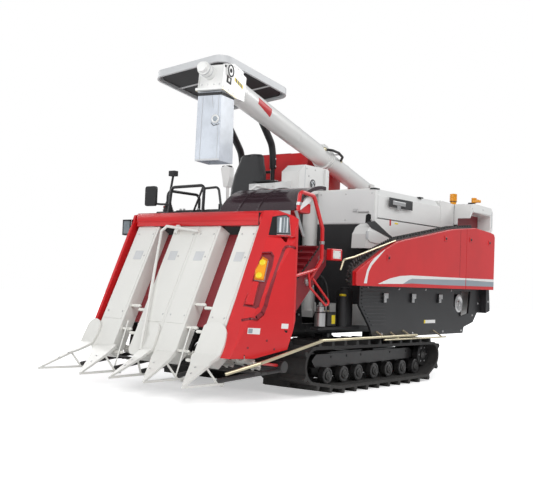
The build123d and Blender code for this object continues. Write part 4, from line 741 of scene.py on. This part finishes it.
# Smoked hood: a white plate on its side that is a painted reflection of its inner panel, its side rail,
# motor box, guard box and collars of the guard pipe
# Outline of the white plate that paints the reflection on the hood's side
HOOD_REFLECTION_OUTLINE = [(1150, 1405), (1150, 1440), (1060, 1512), (960, 1535), (960, 1520), (1030, 1470)]
side_plates("hood_side_reflection", [HOOD_REFLECTION_OUTLINE], 783, 4, WHITE_DECAL_AND_REFLECTION, "header")
side_plates("hood_side_rail", [[(1203, 1400), (1080, 1210), (1055, 1222), (1165, 1404)]], 770, 6, BRIGHT,
    "header")
blocks("hood_motor_box", [(985, 1130, 700, 775, 1392, 1470)], RED, "header", 12)
blocks("guard_box", [(600, 752, 772, 826, 1050, 1142)], RED, "header", 8)
side_plates("guard_box_plate", [rectangle(628, 735, 1066, 1128)], 826, 1.5, WHITE_DECAL_AND_REFLECTION, "header")
side_bolts("guard_box_bolts", grid((640, 724), (1076, 1118)), 827.5, 5, BRIGHT, "header")
turned("guard_pipe_collars", [([(20, -12), (20, 12)], (857, 800, 1180), UP),
    ([(20, -12), (20, 12)], (1180, 800, 1452), (-0.12, 0, 1))], BRIGHT, "header", 20)

# Chains and rollers of the stalk conveyor, seen behind the guard
CHAIN_RUN = ((1155, 775), (735, 1150))


def conveyor_chain(y):
    """Links of one conveyor chain along its upper run."""
    start, end = Vector((CHAIN_RUN[0][0], y, CHAIN_RUN[0][1])), Vector((CHAIN_RUN[1][0], y, CHAIN_RUN[1][1]))
    along = (end - start).normalized()
    out = square_up(along)
    shape = bmesh.new()
    count = 18
    for number in range(count):
        middle = start.lerp(end, number / (count - 1)) + out * 12
        link = [middle - along * 13 - out * 6, middle + along * 13 - out * 6, middle + along * 10 + out * 6,
            middle - along * 10 + out * 6]
        add_prism(shape, link, (0, 6 if number % 2 else 10, 0))
    return finished(f"conveyor_chain_{y}", shape, STEEL, "header")


for chain_y in (430, 560, 701):
    conveyor_chain(chain_y)
turned("conveyor_rollers", [([(34, 0), (34, 12), (18, 12), (18, 24)], (x, 700, z), LEFT)
    for x, z in ((1110, 720), (900, 880), (720, 1060))], BRIGHT, "header", 20)
side_bolts("right_cover_bolts", ((1300, 1150), (1400, 900), (1500, 620), (1260, 600)), -828, 6, DARK_RED,
    "header")

# Stowed crop rod with its clip, the right headlamp
STOWED_ROUTE = ((1774, -193, 319), (1334.5, -450.3, 1222.5), (1323, -457, 1246), (1323, -448, 1251.5),
    (1323, -409, 1277.8), (1323, -400, 1284), (1323.1, -389, 1282.8), (1325, -60, 1245.6))
tubes("stowed_rod", [STOWED_ROUTE], 11.8, CREAM, "header", 2)
plates("stowed_rod_clip", [case_rectangle(-316.5, -283.5, 998.5, 1069.5)], CASE_OUT * 33.5, CREAM, "header")
front_plates("right_lamp_glass", [rectangle(-930, -850, 1225, 1335)], 1300.2, 1.5, GLASS, "header")
front_plates("right_lamp_rim", [rectangle(-936, -928, 1215, 1345), rectangle(-852, -840, 1215, 1345),
    rectangle(-936, -840, 1215, 1227), rectangle(-936, -840, 1333, 1345)], 1300.4, 4, MATT_BLACK, "header")
blocks("right_lamp_shell", [(1213, 1296, -937.5, -838, 1213, 1347)], MATT_BLACK, "header", 6)

# The plated front part of the side rod, over its CAD bar
tubes("side_rod_skin", [((1840.5, 699.8, 221.8), (1640, 850, 300)), ((1640, 850, 300),
    (1001, 929.2, 440.2))], 12.2, ZINC, "header", 2)


# Driver's station

PAD_PRESSURE = 4.0
PAD_STIFFNESS = 20
PAD_FRAMES = 20
PAD_SWELL = 6
SEAT_LEAN = 0.165
SEAT_Y = -560
CUSHION_RINGS = ((125, 545, 200, 1405, 50), (118, 552, 207, 1430, 60), (120, 550, 205, 1468, 60),
    (150, 520, 175, 1492, 60))
BACK_RINGS = ((1508, 185), (1600, 198), (1740, 200), (1860, 185), (1960, 150), (2030, 130), (2052, 100))


def pad_form(name, outline_rings, node):
    """Cushion from stacked outlines, inflated with cloth, that replaces its CAD node."""
    shape = bmesh.new()
    rings = [[shape.verts.new(Vector(point) * MM) for point in ring] for ring in outline_rings]
    for lower, upper in zip(rings, rings[1:]):
        count = len(lower)
        for index in range(count):
            after = (index + 1) % count
            shape.faces.new((lower[index], lower[after], upper[after], upper[index]))
    shape.faces.new(list(reversed(rings[0])))
    shape.faces.new(rings[-1])
    pad = finished(name, shape, VINYL, CHASSIS, smooth=True)
    remesh = pad.modifiers.new("remesh", "REMESH")
    remesh.mode = "VOXEL"
    remesh.voxel_size = 6 * MM
    apply_all(pad)
    inflate(pad)
    for polygon in pad.data.polygons:
        polygon.use_smooth = True
    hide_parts(node)
    return pad


def apply_all(piece):
    """Put the modifiers' result into the piece's mesh."""
    graph = bpy.context.evaluated_depsgraph_get()
    graph.update()
    mesh = bpy.data.meshes.new_from_object(piece.evaluated_get(graph))
    piece.modifiers.clear()
    piece.data = mesh


def inflate(pad):
    """Swell a pad with cloth pressure and cap how far each point may move."""
    scene = bpy.context.scene
    before = [vertex.co.copy() for vertex in pad.data.vertices]
    cloth = pad.modifiers.new("cloth", "CLOTH")
    cloth.settings.use_pressure = True
    cloth.settings.uniform_pressure_force = PAD_PRESSURE
    cloth.settings.effector_weights.gravity = 0
    cloth.settings.tension_stiffness = PAD_STIFFNESS
    cloth.settings.compression_stiffness = PAD_STIFFNESS
    for number in range(1, PAD_FRAMES + 1):
        scene.frame_set(number)
    apply_all(pad)
    scene.frame_set(1)
    for vertex, start in zip(pad.data.vertices, before):
        move = vertex.co - start
        if move.length > PAD_SWELL * MM:
            vertex.co = start + move.normalized() * PAD_SWELL * MM
    pad.data.update()


def rounded_outline(low_x, high_x, half, z, corner, steps=5):
    """Rounded rectangle at one height, as 3-D points, about the seat's middle."""
    low_y, high_y = SEAT_Y - half, SEAT_Y + half
    points = []
    for x, y, turn in ((high_x - corner, high_y - corner, 0), (low_x + corner, high_y - corner, 90),
            (low_x + corner, low_y + corner, 180), (high_x - corner, low_y + corner, 270)):
        for step in range(steps):
            angle = math.radians(turn + 90 * step / (steps - 1))
            points.append((x + corner * math.cos(angle), y + corner * math.sin(angle), z))
    return points


pad_form("seat_cushion_pad", [rounded_outline(*ring) for ring in CUSHION_RINGS], "seat_cushion")


def lean(point):
    """Lean a point of the seat back: x follows the height."""
    x, y, z = point
    return (x + 172 - (z - 1505) * SEAT_LEAN, y, z)


back = [[lean(point) for point in rounded_outline(-78, -12, half, height, 30)]
    for height, half in BACK_RINGS]
pad_form("seat_back_pad", back, "seat_back")
turned("seat_back_seams", [([(2.5, 0), (2.5, 260)], (163 - (z - 1505) * SEAT_LEAN, SEAT_Y - 130, z), LEFT)
    for z in (1660, 1800)], MATT_BLACK, steps=8)
blocks("seat_base", [(130, 500, SEAT_Y - 160, SEAT_Y + 160, 1398, 1412)], MATT_BLACK)

# Gauges, switches, levers and pedals, the mirror and the mats
blocks("side_console_panel", [(200, 405, -268, -75, 1738.5, 1755.5)], MATT_BLACK, radius=6)
turned("side_console_dials", [([(34, 0), (34, 6), (30, 8), (30, 4)], (345, y, 1748), (0.17, 0, 1))
    for y in (-215, -130)], BRIGHT, steps=28)
blocks("side_console_switches", [(x, x + 16, y, y + 10, 1750, 1766) for x in (235, 265)
    for y in (-235, -205, -175, -145, -115)], GREY, radius=2)
blocks("side_console_seam", [(429, 431.5, -275, 5, 1645, 1648)], SEAM_AND_SHADE_DARK, radius=1)
bolts("side_console_bolts", [(430, *spot) for spot in grid((-255, -15), (1630, 1690))], AHEAD, 5, BRIGHT)
blocks("dash_panel", [(868, 972, -640, -300, 1436, 1448)], MATT_BLACK, radius=5)
blocks("dash_screen", [(880, 935, -560, -400, 1447, 1450)], LENS, radius=2)
turned("dash_knobs", [([(11, 0), (11, 12), (8, 16)], (955, y, 1446), UP) for y in (-600, -560, -400, -340)],
    GREY, steps=16)
turned("lever_boot_rings", [([(r + 3, -4), (r + 3, 4)], (930, -770, z), UP)
    for r, z in ((44, 1455), (37, 1475), (30, 1495), (24, 1515))], HOSE)
turned("key_peg_cap", [([(7, 0), (10, 3), (10, 12), (5, 16)], (960, -790, 1474), UP)], RED, steps=16)
front_plates("mirror_glass", [[(-928, 1492), (-820, 1492), (-814, 1500), (-814, 1638), (-820, 1646),
    (-928, 1646), (-934, 1638), (-934, 1500)]], 1052.2, -1, MATT_BLACK)
front_plates("mirror_reflector", [rectangle(-924, -824, 1500, 1638)], 1027.8, -1.2, CHROME)
blocks("floor_mat", [(450, 795, -850, -100, 730, 736)], MATT_BLACK, radius=2)
blocks("step_treads", [(510, 790, -931, -929, z, z + 10) for z in (600, 640, 680)], BRIGHT, radius=0.8)
blocks("pedals", [(770, 792, -320, -240, 850, 920), (770, 792, -460, -380, 850, 920)], HOSE, radius=6)
tubes("pedal_arms", [[(800, y, 880), (786, y, 884)] for y in (-280, -420)], 8, BLACK, order=2)
GRIP = ((-164.5, 1638), (-182.5, 1720), (-202.5, 1800), (-150, 1817.5), (-106, 1802.5), (-104, 1720),
    (-124, 1638))
front_plates("grip_lever_shell", [GRIP], 860.5, 54.5, WHITE)
blocks("grip_lever_top", [(866, 910, -196, -112, 1790, 1819)], MATT_BLACK, radius=8)
tubes("grip_lever_stem", [[(880, -140, 1442), (889.7, -140, 1645)]], 12.8, WHITE, order=2)
HANDLE = ((640, -100, 1401), (640, -100, 1600), (640, -100, 1625), (632, -100, 1645), (615, -100, 1655.2),
    (580, -100, 1676), (560, -100, 1684.5), (540, -100, 1685), (430, -100, 1680))
tubes("grab_handle_skin", [HANDLE], 13.5, WHITE)


# Unloading auger, canopy and rear lamps

YAW = math.radians(12.0)
TILT = math.radians(7.9)
PIVOT = Vector((-1560, -320, 1890))
ALONG = Vector((math.cos(TILT) * math.cos(YAW), math.cos(TILT) * math.sin(YAW), math.sin(TILT)))
SIDEWAYS = Vector((-math.sin(YAW), math.cos(YAW), 0))
ABOVE = ALONG.cross(SIDEWAYS)
HEAD_END = 3410


# Points from (along, side, up) in the auger's own frame
on_auger = place_on(PIVOT, ALONG, SIDEWAYS, ABOVE)


def auger_plates(name, outlines, side, thick, material):
    """Thin plates on the left of the auger's head; outlines are (along, up)."""
    placed = [[on_auger(along, side, up) for along, up in outline] for outline in outlines]
    return plates(name, placed, SIDEWAYS * thick, material, "auger")


mark = [(3238, 26), (3100, 10), (3096, -16), (3234, 0)]
auger_plates("auger_head_mark", [mark], 100.2, 1, YELLOW)
bars = []
for share in (0.1, 0.38, 0.66):
    top_a, top_b = blend_line(mark[0], mark[1], share), blend_line(mark[0], mark[1], share + 0.14)
    low_a, low_b = blend_line(mark[3], mark[2], share + 0.05), blend_line(mark[3], mark[2], share + 0.19)
    bars.append([top_a, top_b, low_b, low_a])
auger_plates("auger_head_mark_bars", bars, 101.3, 0.6, DECAL_BLACK)
turned("auger_head_bearing", [([(46, 0), (46, 10), (38, 12), (36, 4), (16, 4), (16, 10), (10, 12)],
    on_auger(HEAD_END - 84, 105, 42), SIDEWAYS)], MATT_BLACK, "auger", 28)
auger_plates("auger_head_square", [rectangle(3355, 3290, -2, -52)], 100.2, 4, MATT_BLACK)
auger_plates("auger_head_square_hole", [rectangle(3338, 3312, -14, -40)], 104.2, 0.8, CREAM)
turned("auger_head_plug", [([(10, 0), (10, 4), (6, 6)], on_auger(3392, 100, 55), SIDEWAYS)], MATT_BLACK,
    "auger", 16)
for name, side, spots in (("auger_head_bolts", 1, ((3130, 85), (3200, 105), (3250, 105), (3240, -98),
        (3310, -98), (3390, -98))), ("auger_head_bolts_right", -1, ((3130, 85), (3250, 105), (3240, -98),
        (3390, -98))),):
    bolts(name, [on_auger(along, side * 100, up) for along, up in spots], SIDEWAYS * side, 6, BRIGHT,
        "auger")
bolts("auger_flange_bolts", [on_auger(a, side, -129.5) for a in (3215, 3280, 3345, 3410)
    for side in (-106, 106)], -ABOVE, 5, ZINC, "auger")
auger_plates("auger_flange_line", [rectangle(3198, 3425, -115, -128)], 112.2, 0.8, ZINC)
bolts("auger_head_front_bolts", [on_auger(3410.5, side, -85) for side in (-70, -20, 30, 75)], ALONG, 5,
    BRIGHT, "auger")
turned("auger_motor_rings", [([(50.5, -4), (50.5, 4)], on_auger(3460, -10, 0), ALONG),
    ([(50.5, -4), (50.5, 4)], on_auger(3505, -10, 0), ALONG)], GREY, "auger", 28)


def tube_patch(name, corners, material, radius=88.3, steps=8):
    """Thin film wrapped on the left of the tube, between (along, up) corners front to rear."""
    shape = bmesh.new()
    rows = []
    for share in range(steps + 1):
        top = blend_line(corners[0], corners[3], share / steps)
        low = blend_line(corners[1], corners[2], share / steps)
        row = []
        for part in range(steps + 1):
            along, up = blend_line(top, low, part / steps)
            up = max(-radius * 0.999, min(radius * 0.999, up))
            row.append(shape.verts.new(on_auger(along, math.sqrt(radius ** 2 - up ** 2), up) * MM))
        rows.append(row)
    for first, second in zip(rows, rows[1:]):
        for index in range(steps):
            shape.faces.new((first[index], first[index + 1], second[index + 1], second[index]))
    return finished(name, shape, material, "auger", smooth=True)


tube_patch("auger_red_patch", ((2790, 30), (2790, -22), (2540, -50), (2540, 18)), RED_DECAL_AND_SHADOW)
turned("auger_tube_clamps", [([(89.5, -12), (89.5, 12)], on_auger(a, 0, 0), ALONG)
    for a in (620, 1900, 2980)], WHITE, "auger", 36)
bolts("auger_joint_bolts", [on_auger(1124.5, 97 * math.cos(t), 97 * math.sin(t))
    for t in (0.3, 1.1, 1.9, 2.7, 3.5, 4.3, 5.1, 5.9)], -ALONG, 5, BRIGHT, "auger")
turned("auger_hose_fittings", [([(16, -20), (19, -15), (19, 10), (14, 22)], on_auger(a, s, u), ax)
    for a, s, u, ax in ((895, 72, 43, (0.8, 0.6, 0)), (1335, 70, 40, (-0.7, 0.7, 0)))], ZINC, "auger", 18)
HOSE_CLIP = [on_auger(1050, 60, 64), on_auger(1050, 118, 68)]
tubes("auger_hose_clip", [HOSE_CLIP], 7, BRIGHT, "auger", 2)

# Outlet sleeve: folds, hem, collar and the round lamp on it
SPOUT_TOP = on_auger(HEAD_END - 102, 0, -126)
FORWARD = Vector((math.cos(YAW), math.sin(YAW), 0))


# Points beside the hanging sleeve from (forward, side, drop), from the middle of its top
on_spout = place_on(SPOUT_TOP, FORWARD, SIDEWAYS, -Vector(UP))


def spout_plates(name, outlines, offset, material):
    """Thin plates on the sleeve; outlines are (forward, side, drop)."""
    placed = [[on_spout(*point) for point in outline] for outline in outlines]
    return plates(name, placed, offset, material, "auger")


SLEEVE_FACE = 98.5
SLEEVE_FLARE = 0.012
FOLD_TOP = 30


def fold(side, foot, spread):
    """Outline of a fold that runs down the sleeve and moves sideways by its foot."""
    upper, lower = SLEEVE_FACE + FOLD_TOP * SLEEVE_FLARE, SLEEVE_FACE + foot * SLEEVE_FLARE
    return [(upper, side, FOLD_TOP), (upper, side + 3, FOLD_TOP), (lower, side + 3 + spread, foot),
        (lower, side + spread, foot)]


spout_plates("spout_folds", [fold(-55, 490, -8), fold(75, 490, 4), fold(20, 120, 12)], FORWARD * 1.2, GREY)
spout_plates("spout_hems", [[(104.5, -98, 486), (104.5, 98, 486), (104.7, 99, 499), (104.7, -99, 499)]],
    FORWARD, GREY)
spout_plates("spout_collar", [[(98, -96, 4), (98, 96, 4), (98.5, 96, 26), (98.5, -96, 26)]], FORWARD * 1.6,
    MATT_BLACK)
spout_plates("spout_collar_left", [[(-98, 96, 4), (98, 96, 4), (98.5, 96.2, 26), (-98.5, 96.2, 26)]],
    SIDEWAYS * 1.6, MATT_BLACK)
turned("spout_lamp_ring", [([(30, 0), (31, 10), (26, 14), (20, 10)], on_spout(100.5, 58, 200), FORWARD)],
    WHITE, "auger", 32)
turned("spout_lamp_glass", [([(20, 9), (15, 13), (6, 14.5)], on_spout(100.5, 58, 200), FORWARD)], DECAL_GREY,
    "auger")
spout_plates("spout_lamp_bracket", [[(101, 20, 228), (101, 40, 250), (101, 90, 240), (101, 90, 235),
    (101, 42, 245), (101, 24, 225)]], FORWARD * 1.5, MATT_BLACK)

# Canopy: black lining under the tray, clamp plates, buttons, sleeves and bolts of the posts
CANOPY_CORNER = Matrix.Translation((1137, -28, 2700))
CANOPY_TURN = Matrix.Rotation(math.radians(-7.8), 4, "Y") @ Matrix.Rotation(math.radians(5.3), 4, "X")
CANOPY = CANOPY_CORNER @ CANOPY_TURN
CANOPY_DOWN = CANOPY.to_3x3() @ Vector((0, 0, -1))


def on_canopy(x, y, z):
    """Point in the canopy's frame: x back from the front edge, y right from the left edge."""
    return CANOPY @ Vector((-x, -y, z))


lining = [on_canopy(*p) for p in ((28, 110, -34), (110, 28, -34), (840, 28, -34), (922, 110, -34),
    (922, 680, -34), (840, 762, -34), (110, 762, -34), (28, 680, -34))]
plates("canopy_lining", [lining], CANOPY_DOWN * 4, MATT_BLACK)
blocks("canopy_clamp_plates", [(360, 470, -372, -288, 2510, 2523), (360, 470, -742, -658, 2460, 2473)],
    BLACK)
turned("canopy_buttons", [([(10, -1), (10, 3), (6, 5)], on_canopy(x, y, 0), -CANOPY_DOWN) for x in (60, 890)
    for y in (120, 400, 670)], GREY, steps=18)
POST_SLEEVES = [[(-120, y, z0), (-120, y, z1), (20, y + 30, z2), (200, y + 66, z3)]
    for y, z0, z1, z2, z3 in ((-440, 1930, 2120, 2235, 2375), (-810, 1900, 2070, 2185, 2325))]
tubes("canopy_post_sleeves", POST_SLEEVES, 33, MATT_BLACK)
bolts("canopy_post_bolts", [(-120, y + 33.5, z) for y in (-440, -810) for z in (1950, 2020)], LEFT, 7,
    BRIGHT)

# Amber beacon and side lamp
turned("beacon_ribs", [([(37, z), (37, z + 3.5)], (-1830, 600, 1750), UP) for z in (12, 26, 40, 54, 68)],
    AMBER, steps=28)
turned("beacon_cap", [([(30, 0), (26, 3), (10, 5)], (-1830, 600, 1829), UP)], AMBER, steps=28)
turned("beacon_base", [([(40, 0), (40, 10), (32, 16)], (-1830, 600, 1705), UP),
    ([(37.5, -3), (37.5, 3)], (-1830, 600, 1752), UP)], MATT_BLACK, steps=28)
blocks("rear_side_lamp", [(-1925, -1855, 795, 862, 1742, 1772)], AMBER, radius=6)
blocks("rear_side_lamp_arm", [(-1905, -1875, 740, 812, 1725, 1744)], MATT_BLACK, radius=4)


# Crawlers: hubs, rims and bolts of the rollers, idlers and sprockets

ROLLER_XS = (545, 300, 70, -190, -440, -690, -940)


def ring_spots(x, z, y, radius, count):
    """Bolt circle on a wheel's face."""
    return [(x + radius * math.cos(2 * math.pi * k / count), y, z
        + radius * math.sin(2 * math.pi * k / count)) for k in range(count)]


for name, sign in (("left", 1), ("right", -1)):
    middle = sign * 580
    face = middle + sign * 110
    hub = [(36, -2), (36, 7), (30, 11), (18, 12), (18, 17), (8, 19)]
    rim = [(68.5, -12), (68.5, -2), (60, 3), (50, 3), (47, -1)]
    turned(f"roller_hubs_{name}", [(hub, (x, face, 130), (0, sign, 0)) for x in ROLLER_XS], STEEL, steps=22)
    turned(f"roller_rims_{name}", [(rim, (x, face, 130), (0, sign, 0)) for x in ROLLER_XS], BLACK, steps=28)
    idler_face = middle + sign * 120
    turned(f"idler_hub_{name}", [([(46, -2), (46, 8), (34, 12), (30, 18), (12, 20)],
        (-1060, idler_face, 235), (0, sign, 0))], STEEL, steps=26)
    bolts(f"idler_bolts_{name}", ring_spots(-1060, 235, idler_face, 70, 6), (0, sign, 0), 6, BRIGHT)
    sprocket_face = middle + sign * 32
    turned(f"sprocket_hub_{name}", [([(80, -1), (80, 10), (62, 16), (55, 50), (30, 56)],
        (885, sprocket_face, 235), (0, sign, 0))], STEEL, steps=28)
    bolts(f"sprocket_bolts_{name}", ring_spots(885, 235, sprocket_face + sign * 9, 70, 8), (0, sign, 0), 7,
        BRIGHT)
    bolts(f"track_frame_bolts_{name}", [(x, middle + sign * 55, 272) for x in (-850, -550, -50, 180, 420)],
        (0, sign, 0), 8, BLACK)

# Frame rails, pivot and hydraulic parts
side_bolts("rail_bolts", grid((-1850, -1750, -1250, -1150, 300, 600, 920), (455, 495)), 290, 7, BLACK)
side_bolts("pivot_bolts", ((420, 600), (470, 620), (460, 900), (490, 1020)), 300, 7, BRIGHT)
turned("pivot_pin_cap", [([(36, -1), (36, 8), (26, 12), (10, 13)], (500, 300, 1100), LEFT)], ZINC)
turned("filter_shell", [([(43.2, 1), (43.2, 112), (40, 118), (33, 120)], (700, 700, 530), UP),
    ([(31, 0), (31, 34), (24, 46), (10, 50)], (700, 700, 650), UP)], BRIGHT, steps=32)
turned("filter_band", [([(44, 0), (44, 10)], (700, 700, 636), UP)], MATT_BLACK, steps=32)
turned("bottle_caps", [([(28, 0), (28, 14), (22, 18)], (360, 690, 770), UP)], YELLOW, steps=20)
turned("reservoir_cap", [([(36, 0), (36, 20), (30, 24)], (190, 600, 820), UP)], MATT_BLACK)
blocks("pump_block", [(430, 560, 560, 680, 523, 640)], BLACK, radius=8)
side_plates("pump_label", [rectangle(450, 500, 545, 615)], 680.2, 1, YELLOW)
turned("pump_fittings", [([(13, 0), (13, 14), (9, 16), (9, 26)], (x, 620, 638), UP) for x in (465, 525)],
    ZINC, steps=12)
tubes("pump_hoses", [[(465, 620, 650), (465, 620, 740), (430, 560, 900), (330, 400, 950), (200, 300, 880),
    (80, 250, 700)], [(525, 620, 650), (525, 620, 760), (500, 520, 860), (380, 420, 860), (250, 380, 700),
    (200, 330, 560)]], 12, HOSE)
tubes("filter_hoses", [[(700, 700, 640), (640, 640, 660), (580, 560, 600), (500, 500, 560),
    (350, 420, 545)]], 10, HOSE)
turned("cylinder_glands", [([(40, 0), (40, 20), (32, 24)], (745, 140, 451), (0.995, 0, -0.092))], ZINC,
    "lift_barrel")

# Straw cutter, fuel tank and right side
REAR_WALL = -2118.5
side_bolts("cutter_bolts", ((-2085, 1340), (-2085, 1100), (-2090, 920), (-2100, 740)), 890, 7, BRIGHT)
front_plates("cutter_seams", [rectangle(150, 870, z, z + 4) for z in (1120, 1370)], REAR_WALL, -1, SEAM_AND_SHADE_DARK)
blocks("cutter_handle", [(-2138, -2118, 440, 580, 1240, 1262)], BRIGHT, radius=6)
front_plates("rear_reflectors", [rectangle(y, y + 50, 1160, 1210) for y in (170, 800)], REAR_WALL, -3, RED)
turned("fuel_cap", [([(45, 0), (45, 22), (38, 28), (12, 28)], (-1950, -760, 900), UP)], RED, steps=28)
blocks("fuel_tank_straps", [(x, x + 30, -882.5, -477.5, 560, 902.5) for x in (-1960, -1820)], BLACK)
RIGHT_WALL = -930
side_plates("tank_panel_lines", [rectangle(-1190, -340, 1696, 1700), rectangle(-770, -766, 1010, 1696),
    rectangle(-1190, -340, 1005, 1009)], RIGHT_WALL, -1.2, SEAM_AND_SHADE_DARK, "grain_tank")
side_plates("tank_window", [rectangle(-520, -440, 1300, 1560)], RIGHT_WALL, -3, SMOKED, "grain_tank")
blocks("tank_handle", [(-400, -376, -937, -930, 1150, 1290)], MATT_BLACK, "grain_tank", 4)
side_plates("tank_swoosh", [[(-345, 1115), (-600, 1160), (-1190, 1150), (-1190, 1118), (-620, 1125)]],
    RIGHT_WALL, -1.2, WHITE_DECAL_AND_REFLECTION, "grain_tank")
side_bolts("tank_bolts", grid((-1160, -800, -730, -370), (1050, 1660, 1740, 2060)), RIGHT_WALL, 6, DARK_RED,
    "grain_tank")
blocks("tank_lid", [(-1160, -370, -900, -420, 2098, 2112)], DARK_RED, "grain_tank", 6)
blocks("door_latch", [(375, 402, -934, -925, 930, 1020)], BRIGHT, "radiator_door")
side_bolts("door_bolts", grid((-215, 384), (620, 800, 1120, 1335)), -925, 5, BRIGHT, "radiator_door")
bolts("engine_cover_bolts", [(440.3, *spot) for spot in grid((-860, -500, -150), (650, 950, 1220))], AHEAD,
    6, BRIGHT)
turned("exhaust_pipe", [([(34, 0), (34, 130), (30, 130), (30, 20)], (-250, -160, 1395), UP)], STEEL,
    steps=26)

bpy.context.view_layer.update()
